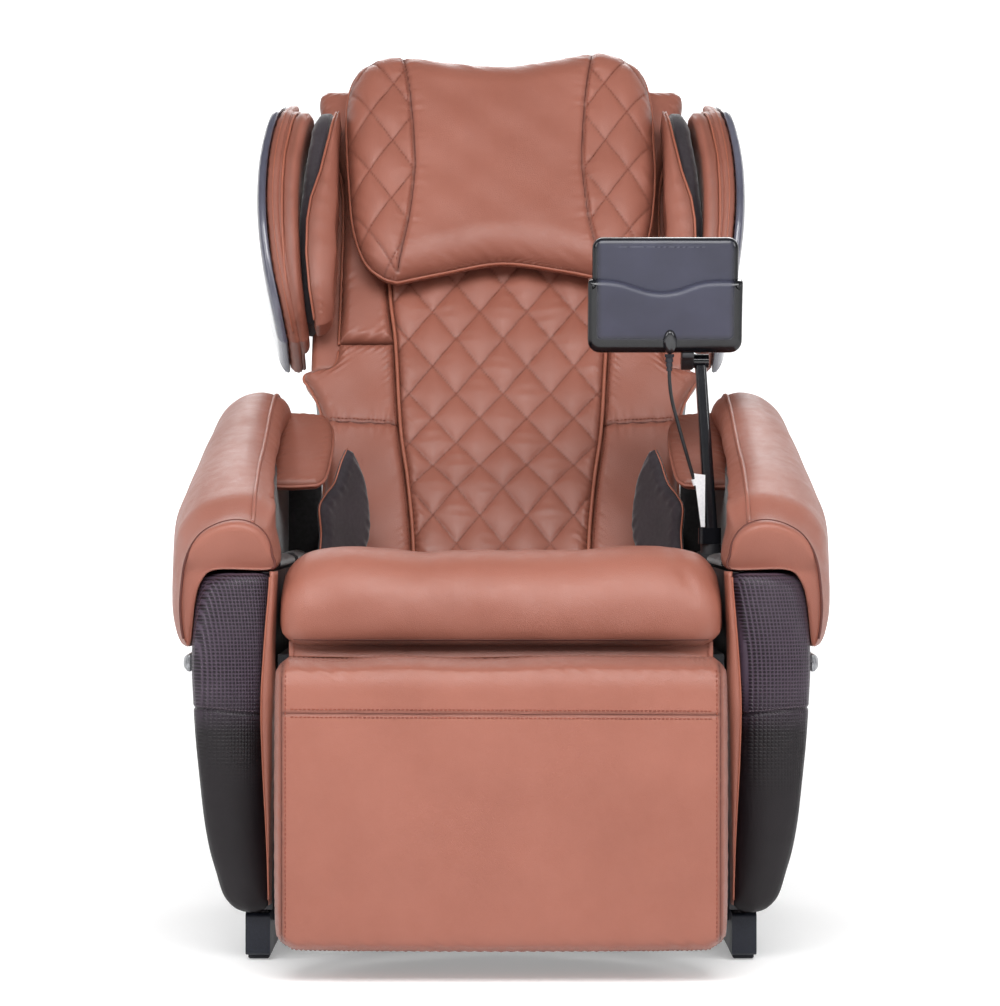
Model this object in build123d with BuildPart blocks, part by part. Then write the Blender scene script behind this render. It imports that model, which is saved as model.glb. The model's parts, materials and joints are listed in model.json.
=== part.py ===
"""Massage chair: floor frame, padded arms, seat, reclining back with a massage track, lifting legrest
and a tablet controller on a swivelling stalk.

Row frame in millimetres: X across the chair, -Y is the front, +Z is up. The origin is on the floor
under the middle of the chair. Parts of the back are drawn on the tilted BACK plane, whose local
coordinates are x across, u up along the back and v out of its front.
"""

import math
import os

from build123d import *

# ---- driving dimensions ----
LEGREST_FRONT_Y = -640.0
SEAT_FRONT_Y = -505.0
ARM_FRONT_Y = -500.0
ARM_REAR_Y = 185.0

HINGE_Y, HINGE_Z = 145.0, 360.0  # recline axis
BACK_TILT = 28.0  # degrees from vertical, at rest
RECLINE_RANGE = 45.0
BACK_TOP_U = 846.0
BACK_HALF_LOW, BACK_HALF_HIGH = 236.0, 262.0

LEG_PIVOT_Y, LEG_PIVOT_Z = -465.0, 300.0  # legrest raise axis
LEG_RANGE = 80.0
LEG_HALF = 242.0
LEG_BOTTOM_Z, LEG_TOP_Z = 33.0, 353.0

RAIL_IN_X, RAIL_OUT_X = 262.0, 290.0
RAIL_FRONT_Y, RAIL_REAR_Y = -452.0, 350.0
FOOT_Z, RAIL_TOP_Z, TRAY_TOP_Z = 6.0, 54.0, 60.0
WALL_IN_X, WALL_OUT_X = 258.0, 268.0
PANEL_OUT_X, PANEL_TOP_Z = 351.0, 441.0
POD_OUT_X, POD_TOP_Z = 391.0, 664.0
CHANNEL_X = 292.0  # inner face of the arm pod along the forearm channel

FRAME_TOP_Z, PAN_TOP_Z = 348.0, 356.0
TUBE_IN_X, TUBE_OUT_X = 222.0, 252.0
SEAT_HALF = 248.0

CRANK_PIN_R = 6.0
RUNNING = 0.05  # radial clearance of a running fit
LEG_CRANK_R, BACK_CRANK_R = 60.0, 90.0

STALK_X, STALK_Y = 263.0, -80.0  # swivel axis of the tablet stalk
TILT_Y, TILT_Z = -80.0, 697.0  # tilt axis of the tablet
TABLET_X = 204.0
TABLET_LEAN = 14.0  # degrees that the tablet's top leans towards the front
CORD_R = 2.25

BACK = Plane(
    origin=(0, HINGE_Y, HINGE_Z),
    x_dir=(1, 0, 0),
    z_dir=(0, -math.cos(math.radians(BACK_TILT)), math.sin(math.radians(BACK_TILT))),
)


def side_plane(x):
    """Local (y, z) at a given x, extruded towards +X."""
    return Plane.YZ.offset(x)


def back_side_plane(x):
    """Local (v, u) on the back at a given x, extruded towards -X."""
    return Plane(origin=BACK.from_local_coords((x, 0, 0)), x_dir=BACK.z_dir, z_dir=(-1, 0, 0))


def front_plane(y):
    """Local (x, z) at a given y, extruded towards +Y by a negative amount."""
    return Plane.XZ.offset(-y)


def outline(points, rounding=0.0):
    """A closed face through the points in the open sketch, its corners rounded."""
    with BuildLine() as edge:
        if rounding:
            FilletPolyline(*points, radius=rounding, close=True)
        else:
            Polyline(*points, close=True)
    make_face(edge.edges())


def block(x0, x1, y0, y1, z0, z1, mode=Mode.ADD):
    """A box between two corners, in the open part."""
    with Locations(((x0 + x1) / 2, (y0 + y1) / 2, (z0 + z1) / 2)):
        Box(abs(x1 - x0), abs(y1 - y0), abs(z1 - z0), mode=mode)


def back_block(x0, x1, u0, u1, v0, v1, mode=Mode.ADD):
    """A box between two corners given in the back's own coordinates."""
    with Locations(BACK.location * Location(((x0 + x1) / 2, (u0 + u1) / 2, (v0 + v1) / 2))):
        Box(abs(x1 - x0), abs(u1 - u0), abs(v1 - v0), mode=mode)


def rod_x(x0, x1, y, z, radius, mode=Mode.ADD):
    """A cylinder along X between x0 and x1."""
    with Locations(Location(((x0 + x1) / 2, y, z), (0, 90, 0))):
        Cylinder(radius, abs(x1 - x0), mode=mode)


def rod_y(x, z, y0, y1, radius, mode=Mode.ADD):
    """A cylinder along Y between y0 and y1."""
    with Locations(Location((x, (y0 + y1) / 2, z), (90, 0, 0))):
        Cylinder(radius, abs(y1 - y0), mode=mode)


def rod_u(x, v, u0, u1, radius, mode=Mode.ADD):
    """A cylinder up the back between u0 and u1."""
    with Locations(BACK.location * Location((x, (u0 + u1) / 2, v), (90, 0, 0))):
        Cylinder(radius, abs(u1 - u0), mode=mode)


def link(x0, x1, start, end, half):
    """A flat link with round ends between two (y, z) points."""
    (y0, z0), (y1, z1) = start, end
    turn = math.degrees(math.atan2(z1 - z0, y1 - y0))
    with Locations(Location(((x0 + x1) / 2, (y0 + y1) / 2, (z0 + z1) / 2), (turn, 0, 0))):
        Box(abs(x1 - x0), math.dist(start, end), 2 * half)
    rod_x(x0, x1, y0, z0, half)
    rod_x(x0, x1, y1, z1, half)


os.makedirs("parts", exist_ok=True)


def write(shape, label):
    """Labels a finished piece and writes it as one STEP file."""
    shape.label = label
    export_step(shape, f"parts/{label}.step")


def write_pair(right_shape, stem):
    """Writes a piece made on the +X side as STEM_right, and its mirror image as STEM_left."""
    write(right_shape, f"{stem}_right")
    write(mirror(right_shape, about=Plane.YZ), f"{stem}_left")


def both_sides(right_shape):
    """One compound of a +X piece and its mirror image."""
    return Compound(children=[*right_shape.solids(), *mirror(right_shape, about=Plane.YZ).solids()])


# =====================================================================================
# Floor frame
# =====================================================================================
WHEEL_Y, WHEEL_Z, WHEEL_R, WHEEL_W = 322.0, 36.0, 33.0, 20.0
AXLE_R = 6.0
WHEEL_X = RAIL_OUT_X + 3

with BuildPart() as rail:
    with BuildSketch(side_plane(RAIL_IN_X)):
        outline(
            [
                (RAIL_FRONT_Y, FOOT_Z),
                (RAIL_REAR_Y, FOOT_Z),
                (RAIL_REAR_Y, RAIL_TOP_Z),
                (RAIL_FRONT_Y, RAIL_TOP_Z),
            ],
            rounding=5,
        )
    extrude(amount=RAIL_OUT_X - RAIL_IN_X)
    rod_x(RAIL_OUT_X, WHEEL_X + WHEEL_W + 2, WHEEL_Y, WHEEL_Z, AXLE_R)
write(both_sides(rail.part), "base_rails")

CROSS_HALF = RAIL_IN_X
with BuildPart() as crossmembers:
    block(-CROSS_HALF, CROSS_HALF, -395, -355, 38, TRAY_TOP_Z)
    block(-CROSS_HALF, CROSS_HALF, -130, 120, 50, TRAY_TOP_Z)
    block(-CROSS_HALF, CROSS_HALF, 290, 330, 38, TRAY_TOP_Z)
write(crossmembers.part, "base_crossmembers")

FOOT_LENGTH = 60.0
with BuildPart() as feet:
    for foot_y in (RAIL_FRONT_Y + 45, RAIL_REAR_Y - 100):
        with Locations(((RAIL_IN_X + RAIL_OUT_X) / 2, foot_y, FOOT_Z / 2)):
            Box(RAIL_OUT_X - RAIL_IN_X - 4, FOOT_LENGTH, FOOT_Z)
    chamfer(feet.faces().group_by(Axis.Z)[0].edges(), length=1.5)
write(both_sides(feet.part), "rubber_feet")

with BuildPart() as wheel:
    with BuildSketch(side_plane(WHEEL_X)):
        with Locations((WHEEL_Y, WHEEL_Z)):
            Circle(WHEEL_R)
            Circle(AXLE_R + RUNNING, mode=Mode.SUBTRACT)
    extrude(amount=WHEEL_W)
    rims = wheel.edges().filter_by(GeomType.CIRCLE).filter_by(lambda e: e.radius > WHEEL_R - 1)
    fillet(rims, radius=4)
    with BuildSketch(side_plane(WHEEL_X + WHEEL_W)):
        with Locations((WHEEL_Y, WHEEL_Z)):
            Circle(WHEEL_R - 8)
            Circle(AXLE_R + 6, mode=Mode.SUBTRACT)
    extrude(amount=-4, mode=Mode.SUBTRACT)
write_pair(wheel.part, "transport_wheel")

# =====================================================================================
# Seat: welded frame, pan, cushion and apron
# =====================================================================================
HINGE_PIN_R = 8.0
HINGE_PLATE_X0, HINGE_PLATE_X1 = 236.0, 248.0
LEG_STUB_R = 8.0

with BuildPart() as frame_side:
    block(TUBE_IN_X, TUBE_OUT_X, -470, 110, FRAME_TOP_Z - 30, FRAME_TOP_Z)
    block(TUBE_IN_X, TUBE_OUT_X, -392, -362, TRAY_TOP_Z, FRAME_TOP_Z - 30)
    block(TUBE_IN_X, TUBE_OUT_X, 85, 115, TRAY_TOP_Z, FRAME_TOP_Z - 30)
    with BuildSketch(side_plane(HINGE_PLATE_X0)):
        outline([(100, 322), (150, 322), (172, 345), (172, 378), (160, 388), (125, 388), (100, 340)], 4)
        with Locations((HINGE_Y, HINGE_Z)):
            Circle(HINGE_PIN_R, mode=Mode.SUBTRACT)
    extrude(amount=HINGE_PLATE_X1 - HINGE_PLATE_X0)
    with BuildSketch(side_plane(TUBE_IN_X)):
        outline([(-488, 278), (-442, 278), (-430, 320), (-430, 340), (-470, 340), (-488, 322)], 4)
        with Locations((LEG_PIVOT_Y, LEG_PIVOT_Z)):
            Circle(LEG_STUB_R + RUNNING, mode=Mode.SUBTRACT)
    extrude(amount=12)
with BuildPart() as frame_cross:
    block(-TUBE_IN_X, TUBE_IN_X, -392, -362, FRAME_TOP_Z - 30, FRAME_TOP_Z)
    block(-TUBE_IN_X, TUBE_IN_X, 80, 110, FRAME_TOP_Z - 30, FRAME_TOP_Z)
seat_frame = Compound(children=[*both_sides(frame_side.part).solids(), *frame_cross.part.solids()])
write(seat_frame, "seat_frame")

with BuildPart() as seat_pan:
    block(-215, 215, -440, 60, FRAME_TOP_Z, PAN_TOP_Z)
    with BuildSketch(Plane.XY.offset(FRAME_TOP_Z)):
        with GridLocations(86, 120, 4, 3):
            SlotOverall(60, 26)
    extrude(amount=PAN_TOP_Z - FRAME_TOP_Z, mode=Mode.SUBTRACT)
write(seat_pan.part, "seat_pan")

with BuildPart() as seat_cushion:
    with BuildSketch(side_plane(-SEAT_HALF)):
        outline(
            [
                (58, PAN_TOP_Z),
                (SEAT_FRONT_Y + 14, PAN_TOP_Z),
                (SEAT_FRONT_Y, PAN_TOP_Z + 14),
                (SEAT_FRONT_Y, PAN_TOP_Z + 70),
                (SEAT_FRONT_Y + 60, 470),
                (SEAT_FRONT_Y + 130, 470),
                (88, 430),
            ],
            rounding=10,
        )
    extrude(amount=2 * SEAT_HALF)
    fillet(seat_cushion.faces().group_by(Axis.X)[0].edges(), radius=8)
    fillet(seat_cushion.faces().group_by(Axis.X)[-1].edges(), radius=8)
write(seat_cushion.part, "seat_cushion")

APRON_Y = SEAT_FRONT_Y + 17
with BuildPart() as seat_apron:
    block(-244, 244, APRON_Y - 3, APRON_Y + 3, 346, PAN_TOP_Z)
write(seat_apron.part, "seat_apron")

# =====================================================================================
# Arms: black inner wall, dark padded panel, leather pod, silver trim, flap and hip airbag
# =====================================================================================
with BuildPart() as inner_wall:
    block(WALL_IN_X, WALL_OUT_X, -470, ARM_REAR_Y - 5, TRAY_TOP_Z, PANEL_TOP_Z)
write_pair(inner_wall.part, "arm_inner_wall")

PANEL_WALL = 10.0
PANEL_BOTTOM_Z = RAIL_TOP_Z + 2


def panel_outline(inset):
    """Front view of the dark panel, in by inset on every side but the one that meets the inner wall."""
    return [
        (WALL_OUT_X, PANEL_BOTTOM_Z + inset),
        (298 - inset, PANEL_BOTTOM_Z + inset),
        (320 - inset, 95),
        (336 - inset, 160),
        (347 - inset, 260),
        (PANEL_OUT_X - inset, 352),
        (PANEL_OUT_X - inset, PANEL_TOP_Z - inset),
        (WALL_OUT_X, PANEL_TOP_Z - inset),
    ]


with BuildPart() as arm_panel:
    with BuildSketch(front_plane(ARM_FRONT_Y)):
        outline(panel_outline(0))
    extrude(amount=-(ARM_REAR_Y - ARM_FRONT_Y))
    fillet(arm_panel.faces().sort_by(Axis.Y)[0].edges().filter_by(GeomType.LINE), radius=8)
    with BuildSketch(front_plane(ARM_FRONT_Y + PANEL_WALL)):
        outline(panel_outline(PANEL_WALL))
    extrude(amount=-(ARM_REAR_Y - ARM_FRONT_Y - 2 * PANEL_WALL), mode=Mode.SUBTRACT)
write_pair(arm_panel.part, "arm_panel")

POD_FRONT_Y, POD_REAR_Y = -492.0, 200.0
POD_BOTTOM_Z = PANEL_TOP_Z + 1
LOBE_X = PANEL_OUT_X + 1
with BuildPart() as arm_pod:
    with BuildSketch(front_plane(POD_FRONT_Y)):
        outline(
            [
                (264, POD_BOTTOM_Z),
                (264, 560),
                (292, 646),
                (318, POD_TOP_Z),
                (350, 632),
                (384, 520),
                (POD_OUT_X, 450),
                (388, 380),
                (372, 353),
                (LOBE_X, 353),
                (LOBE_X, POD_BOTTOM_Z),
            ],
        )
    extrude(amount=-(POD_REAR_Y - POD_FRONT_Y))
    with BuildSketch(side_plane(250)):
        outline(
            [
                (POD_FRONT_Y, 405),
                (POD_FRONT_Y, 470),
                (-445, 522),
                (-150, 604),
                (30, POD_TOP_Z - 2),
                (130, POD_TOP_Z - 2),
                (POD_REAR_Y, 606),
                (POD_REAR_Y, 432),
                (-100, 364),
                (-455, 350),
            ],
            rounding=20,
        )
    extrude(amount=160, mode=Mode.INTERSECT)
    block(250, CHANNEL_X, -370, POD_REAR_Y + 10, POD_BOTTOM_Z - 1, POD_TOP_Z + 10, Mode.SUBTRACT)
write_pair(arm_pod.part, "arm_pod")

TRIM_THICK = 11.0
with BuildPart() as arm_trim:
    with BuildSketch(side_plane(PANEL_OUT_X)):
        with BuildLine():
            lower_edge = ThreePointArc((-470, 328), (-120, 346), (200, 420))
            upper_edge = ThreePointArc((-458, 347), (-122, 360), (200, 420 + TRIM_THICK))
            Line(lower_edge @ 0, upper_edge @ 0)
            Line(lower_edge @ 1, upper_edge @ 1)
        make_face()
    extrude(amount=20)
    front_corner = arm_trim.edges().filter_by(Axis.X).sort_by(Axis.Y)[0]
    fillet(front_corner, radius=4)
write_pair(arm_trim.part, "arm_trim")

FLAP_IN_X, FLAP_OUT_X = 219.0, CHANNEL_X - 0.5
with BuildPart() as arm_flap:
    with BuildSketch(side_plane(FLAP_IN_X)):
        outline([(-58, 530), (-48, 552), (120, 640), (142, 636), (142, 606), (-40, 528)], rounding=4)
    extrude(amount=FLAP_OUT_X - FLAP_IN_X)
    fillet(arm_flap.faces().sort_by(Axis.X)[0].edges(), radius=3)
write_pair(arm_flap.part, "arm_flap")

AIRBAG_THICK = 20.0
with BuildPart() as hip_airbag:
    with BuildSketch(Plane(origin=(240, -18, 0), x_dir=(-0.52, 0.854, 0), z_dir=(0.854, 0.52, 0))):
        outline(
            [(0, 447), (98, 447), (112, 500), (90, 566), (66, 590), (46, 570), (36, 536), (4, 510)],
            rounding=6,
        )
    extrude(amount=-AIRBAG_THICK)
write_pair(hip_airbag.part, "hip_airbag")

# =====================================================================================
# Drive units under the seat
# =====================================================================================
LEG_ROD_Z, LEG_ROD_R = 247.0, 9.0
BACK_ROD_X, BACK_ROD_Z, BACK_ROD_R = 120.0, 273.5, 9.0


def crank_pin(pivot_y, pivot_z, radius, degrees):
    """The crank pin's (y, z) for a crank that hangs down and swings by degrees towards the rear."""
    turn = math.radians(degrees)
    return pivot_y + radius * math.sin(turn), pivot_z - radius * math.cos(turn)


LEG_PIN_Y, LEG_PIN_Z = crank_pin(LEG_PIVOT_Y, LEG_PIVOT_Z, LEG_CRANK_R, LEG_RANGE / 2)
BACK_PIN_Y, BACK_PIN_Z = crank_pin(HINGE_Y, HINGE_Z, BACK_CRANK_R, RECLINE_RANGE / 2)


def actuator(x, z, mouth_y, back_y, rod_r, stand_y, half_x, half_z):
    """A screw actuator along Y: gearbox, motor and stand, with a bore for its rod at mouth_y."""
    inward = 1 if back_y > mouth_y else -1
    block(x - half_x, x + half_x, mouth_y, back_y, z - half_z, z + half_z)
    with Locations((x, back_y - inward * 30, z - half_z - 28)):
        Cylinder(24, 56.1)
    block(x - 13, x + 13, stand_y - 12, stand_y + 12, TRAY_TOP_Z, z - half_z + 1)
    rod_y(x, z, mouth_y - inward, back_y - inward * 14, rod_r + RUNNING, Mode.SUBTRACT)


def actuator_rod(x, z, start_y, pin_y, rod_r, slot_y, slot_z):
    """The moving rod, ending in a yoke plate whose upright slot holds the crank pin."""
    ahead = 1 if pin_y > start_y else -1
    rod_y(x, z, start_y, pin_y - ahead * 24, rod_r)
    block(x - 5, x + 5, pin_y - 25, pin_y + 25, z - slot_z / 2 - 10, z + slot_z / 2 + 10)
    straight = (slot_z - slot_y) / 2
    block(x - 11, x + 11, pin_y - slot_y / 2, pin_y + slot_y / 2, z - straight, z + straight, Mode.SUBTRACT)
    for end_z in (z - straight, z + straight):
        rod_x(x - 11, x + 11, pin_y, end_z, slot_y / 2, Mode.SUBTRACT)


with BuildPart() as legrest_actuator:
    actuator(0, LEG_ROD_Z, -330, -104, LEG_ROD_R, -116, 26, 24)
write(legrest_actuator.part, "legrest_actuator")
with BuildPart() as legrest_actuator_rod:
    actuator_rod(0, LEG_ROD_Z, -200, LEG_PIN_Y, LEG_ROD_R, 17, 34)
write(legrest_actuator_rod.part, "legrest_actuator_rod")

with BuildPart() as recline_actuator:
    actuator(BACK_ROD_X, BACK_ROD_Z, 58, -150, BACK_ROD_R, 0, 26, 22)
write(recline_actuator.part, "recline_actuator")
with BuildPart() as recline_actuator_rod:
    actuator_rod(BACK_ROD_X, BACK_ROD_Z, -56, BACK_PIN_Y, BACK_ROD_R, 16, 24)
write(recline_actuator_rod.part, "recline_actuator_rod")

with BuildPart() as air_pump:
    block(-205, -60, -60, 100, TRAY_TOP_Z, 150)
    fillet(air_pump.edges().filter_by(Axis.Z), radius=10)
    with BuildSketch(Plane.XY.offset(150)):
        with GridLocations(30, 0, 4, 1):
            with Locations((-132, 20)):
                Circle(5)
    extrude(amount=12)
write(air_pump.part, "air_pump")

with BuildPart() as control_box:
    block(-25, 90, -60, 110, TRAY_TOP_Z, 118)
    fillet(control_box.edges().filter_by(Axis.Z), radius=6)
    with BuildSketch(Plane.XY.offset(118)):
        with GridLocations(0, 16, 1, 7):
            with Locations((32, 25)):
                SlotOverall(70, 4)
    extrude(amount=-4, mode=Mode.SUBTRACT)
write(control_box.part, "control_box")

SWITCH_Y, SWITCH_Z = 328.0, 92.0
SWITCH_ROCK = 16.0  # degrees between off and on
SWITCH_PIN_R = 1.5
SWITCH_X, INLET_X = 120.0, 170.0
with BuildPart() as power_box:
    block(92, 205, 296, 336, TRAY_TOP_Z, 124)
    fillet(power_box.edges().filter_by(Axis.Y), radius=5)
    with BuildSketch(front_plane(336)):
        with Locations((INLET_X, 92)):
            RectangleRounded(28, 20, 4)
    extrude(amount=18, mode=Mode.SUBTRACT)
    with Locations((SWITCH_X, 327, SWITCH_Z)):
        Box(15, 18.01, 25, mode=Mode.SUBTRACT)
    rod_x(SWITCH_X - 10, SWITCH_X + 10, SWITCH_Y, SWITCH_Z, SWITCH_PIN_R + RUNNING, Mode.SUBTRACT)
    for blade_x in (-7, 0, 7):
        with Locations((INLET_X + blade_x, 324, 92)):
            Box(2, 12.02, 5)
write(power_box.part, "power_box")

with BuildPart() as power_switch:
    with BuildSketch(side_plane(SWITCH_X - 6.5)):
        with Locations(Location((SWITCH_Y, SWITCH_Z), -SWITCH_ROCK / 2)):
            Polygon((11, 10.5), (9, 0), (11, -10.5), (-6, -9), (-6, 9), align=None)
    extrude(amount=13)
    rod_x(SWITCH_X - 9.5, SWITCH_X + 9.5, SWITCH_Y, SWITCH_Z, SWITCH_PIN_R)
write(power_switch.part, "power_switch")

# =====================================================================================
# Reclining back
# =====================================================================================
EAR_X0, EAR_X1 = 222.0, 234.0
BAR_X0, BAR_X1 = 203.0, 230.0
BAR_V0, BAR_V1 = -60.0, -22.0
BAR_TOP_U = 800.0
TORQUE_R = 10.0

with BuildPart() as back_bar:
    with BuildSketch(back_side_plane(EAR_X1)):
        outline(
            [(-60, 30), (-60, 110), (-22, 110), (-10, 38), (16, 24), (16, -16), (-16, -16), (-24, 0)],
            rounding=5,
        )
        Circle(HINGE_PIN_R + RUNNING, mode=Mode.SUBTRACT)
    extrude(amount=EAR_X1 - EAR_X0)
    back_block(BAR_X0, BAR_X1, 40, BAR_TOP_U, BAR_V0, BAR_V1)
with BuildPart() as torque_tube:
    rod_x(-EAR_X0, EAR_X0, HINGE_Y, HINGE_Z, TORQUE_R)
    for lug_x in (BACK_ROD_X - 14, BACK_ROD_X + 7):
        link(lug_x, lug_x + 7, (HINGE_Y, HINGE_Z), (BACK_PIN_Y, BACK_PIN_Z), 13)
    rod_x(BACK_ROD_X - 14, BACK_ROD_X + 14, BACK_PIN_Y, BACK_PIN_Z, CRANK_PIN_R)
with BuildPart() as back_ties:
    back_block(-BAR_X0, BAR_X0, 52, 76, BAR_V0, BAR_V1)
    back_block(-BAR_X0, BAR_X0, 776, BAR_TOP_U, BAR_V0, BAR_V1)
back_frame = Compound(
    children=[
        *both_sides(back_bar.part).solids(),
        *torque_tube.part.solids(),
        *back_ties.part.solids(),
    ]
)
write(back_frame, "back_frame")

with BuildPart() as recline_pins:
    rod_x(EAR_X0 + 0.5, HINGE_PLATE_X1, HINGE_Y, HINGE_Z, HINGE_PIN_R)
    rod_x(HINGE_PLATE_X1, HINGE_PLATE_X1 + 4, HINGE_Y, HINGE_Z, HINGE_PIN_R + 5)
write(both_sides(recline_pins.part), "recline_pins")

RAIL_V0, RAIL_V1 = -50.0, -20.0
TRACK_X0, TRACK_X1 = 90.0, 108.0
with BuildPart() as massage_track:
    back_block(TRACK_X0, TRACK_X1, 76, 776, RAIL_V0, RAIL_V1)
    back_block(TRACK_X0 - 1, TRACK_X0 + 10, 75, 777, RAIL_V0 + 10, RAIL_V1 - 6, Mode.SUBTRACT)
write(both_sides(massage_track.part), "massage_track")

GUIDE_V, GUIDE_R = -41.0, 6.0
with BuildPart() as guide_rod:
    rod_u(0, GUIDE_V, 140, 776, GUIDE_R)
write(guide_rod.part, "guide_rod")
with BuildPart() as air_valve_block:
    back_block(-24, 24, 76, 140, -62, -22)
    fillet(air_valve_block.edges().filter_by(lambda e: abs((e % 0.5).dot(BACK.y_dir)) > 0.99), radius=8)
write(air_valve_block.part, "air_valve_block")

COVER_V0, COVER_V1 = -108.0, -1.0
COVER_WALL = 4.0


def cover_outline(inset, bottom_u, top_u):
    """Outline of the rear cover in the back's own x and u."""
    low, high = BACK_HALF_LOW - 1 - inset, BACK_HALF_HIGH - 4 - inset
    right_half = [(low, bottom_u), (low, 280), (high, 360), (high, 700), (high - 22, top_u)]
    return [*right_half, *[(-x, u) for x, u in reversed(right_half)]]


with BuildPart() as cover_hollow:
    with BuildSketch(BACK.offset(COVER_V0 + COVER_WALL)):
        outline(cover_outline(COVER_WALL, 18 + COVER_WALL, BACK_TOP_U), rounding=22)
    extrude(amount=COVER_V1 - COVER_V0)
    fillet(cover_hollow.faces().sort_by(Axis(BACK.origin, BACK.z_dir))[0].edges(), radius=16)
with BuildPart() as back_cover:
    with BuildSketch(BACK.offset(COVER_V0)):
        outline(cover_outline(0, 18, BACK_TOP_U + 4), rounding=26)
    extrude(amount=COVER_V1 - COVER_V0)
    fillet(back_cover.faces().sort_by(Axis(BACK.origin, BACK.z_dir))[0].edges(), radius=20)
    add(cover_hollow.part, mode=Mode.SUBTRACT)
    for ear_x in (-EAR_X1 - 2, EAR_X0 - 1):
        back_block(ear_x, ear_x + EAR_X1 - EAR_X0 + 3, 0, 118, -64, 4, Mode.SUBTRACT)
write(back_cover.part, "back_cover")

PAD_V1 = 62.0
QUILT_LOW, QUILT_HIGH = 113.0, 154.0
with BuildPart() as back_centre_pad:
    with BuildSketch(BACK.offset(24)):
        outline(
            [(-QUILT_LOW, 38), (QUILT_LOW, 38), (QUILT_HIGH, 430), (QUILT_HIGH, BACK_TOP_U)]
            + [(-QUILT_HIGH, BACK_TOP_U), (-QUILT_HIGH, 430)],
            rounding=8,
        )
    extrude(amount=PAD_V1 - 24)
write(back_centre_pad.part, "back_centre_pad")

with BuildPart() as back_side_pad:
    with BuildSketch(BACK):
        outline(
            [
                (QUILT_LOW + 1, 38),
                (BACK_HALF_LOW, 38),
                (BACK_HALF_LOW, 285),
                (BACK_HALF_HIGH, 340),
                (BACK_HALF_HIGH, BACK_TOP_U - 20),
                (BACK_HALF_HIGH - 20, BACK_TOP_U),
                (QUILT_HIGH + 1, BACK_TOP_U),
                (QUILT_HIGH + 1, 430),
            ],
            rounding=6,
        )
    extrude(amount=PAD_V1 - 1)
write_pair(back_side_pad.part, "back_side_pad")

# ---- shoulder wings ----
WING_X0, WING_X1, WING_SHELL_X = 284.0, 321.0, 336.0
WING_SIDE = [(-40, 402), (62, 388), (118, 432), (158, 520), (164, 630), (140, 722), (92, 772), (-40, 772)]
with BuildPart() as wing_pad:
    with BuildSketch(back_side_plane(WING_X1)):
        outline(WING_SIDE, rounding=24)
    extrude(amount=WING_X1 - WING_X0)
    back_block(BACK_HALF_HIGH + 1, WING_X0, 424, 752, -36, 30)
write_pair(wing_pad.part, "wing_pad")

with BuildPart() as wing_shell:
    with BuildSketch(back_side_plane(WING_SHELL_X)):
        outline(WING_SIDE, rounding=24)
    extrude(amount=WING_SHELL_X - WING_X1 - 0.5)
    outer_rim = wing_shell.faces().sort_by(Axis.X)[-1].edges()
    fillet(outer_rim, radius=11)
write_pair(wing_shell.part, "wing_shell")

with BuildPart() as wing_airbag:
    with BuildSketch(back_side_plane(260)):
        outline([(63, 408), (106, 402), (146, 470), (150, 600), (134, 710), (104, 766), (63, 766)], rounding=16)
    extrude(amount=24)
write_pair(wing_airbag.part, "wing_airbag")

# ---- head pillow, hung from the top of the back ----
PILLOW_V0, PILLOW_V1 = PAD_V1 + 1.5, 134.0
HANG_U, HANG_V = 858.0, 58.0  # the rolled edge that the pillow folds up about
with BuildPart() as head_pillow:
    with BuildSketch(BACK.offset(PILLOW_V0)):
        outline(
            [(-160, 478), (0, 500), (160, 478), (205, 540), (214, 660), (205, 800), (150, 862)]
            + [(0, 846), (-150, 862), (-205, 800), (-214, 660), (-205, 540)],
            rounding=18,
        )
    extrude(amount=PILLOW_V1 - PILLOW_V0)
    fillet(head_pillow.faces().sort_by(Axis(BACK.origin, BACK.z_dir))[-1].edges(), radius=14)
    hang_point = BACK.from_local_coords((0, HANG_U, HANG_V))
    rod_x(-120, 120, hang_point.Y, hang_point.Z, 5)
    back_block(-120, 120, HANG_U - 4, HANG_U + 3, HANG_V, PILLOW_V0 + 4)
write(head_pillow.part, "head_pillow")

# ---- massage carriage and kneading heads ----
CARRIAGE_U0, CARRIAGE_U1 = 150.0, 250.0
KNEAD_V, KNEAD_U = -16.0, 215.0
NUT_X = 16.0
with BuildPart() as massage_carriage:
    back_block(-TRACK_X0 + 0.4, TRACK_X0 - 0.4, CARRIAGE_U0, CARRIAGE_U1, -48, -34)
    for guide_x in (-TRACK_X0, TRACK_X0):
        back_block(guide_x - 9.5, guide_x + 9.5, CARRIAGE_U0 + 6, CARRIAGE_U1 - 6, -39.5, -34)
    rod_u(0, GUIDE_V, CARRIAGE_U0, CARRIAGE_U1, NUT_X)
    rod_u(0, GUIDE_V, CARRIAGE_U0 - 1, CARRIAGE_U1 + 1, GUIDE_R + RUNNING, Mode.SUBTRACT)
    for cheek_x in (-74, 26):
        with BuildSketch(back_side_plane(cheek_x + 8)):
            outline([(-36, 196), (-8, 203), (-8, 227), (-36, 234)], rounding=3)
            with Locations((KNEAD_V, KNEAD_U)):
                Circle(4 + RUNNING, mode=Mode.SUBTRACT)
        extrude(amount=8)
    for cheek_x in (-34, 66):
        with BuildSketch(back_side_plane(cheek_x + 8)):
            outline([(-36, 196), (-8, 203), (-8, 227), (-36, 234)], rounding=3)
            with Locations((KNEAD_V, KNEAD_U)):
                Circle(4 + RUNNING, mode=Mode.SUBTRACT)
        extrude(amount=8)
write(massage_carriage.part, "massage_carriage")

with BuildPart() as kneading_motor:
    back_block(26, 72, CARRIAGE_U0 + 12, CARRIAGE_U1 - 12, -74, -48)
    fillet(kneading_motor.edges().filter_by(lambda e: abs((e % 0.5).dot(BACK.y_dir)) > 0.99), radius=8)
write(both_sides(kneading_motor.part), "kneading_motors")

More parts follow.
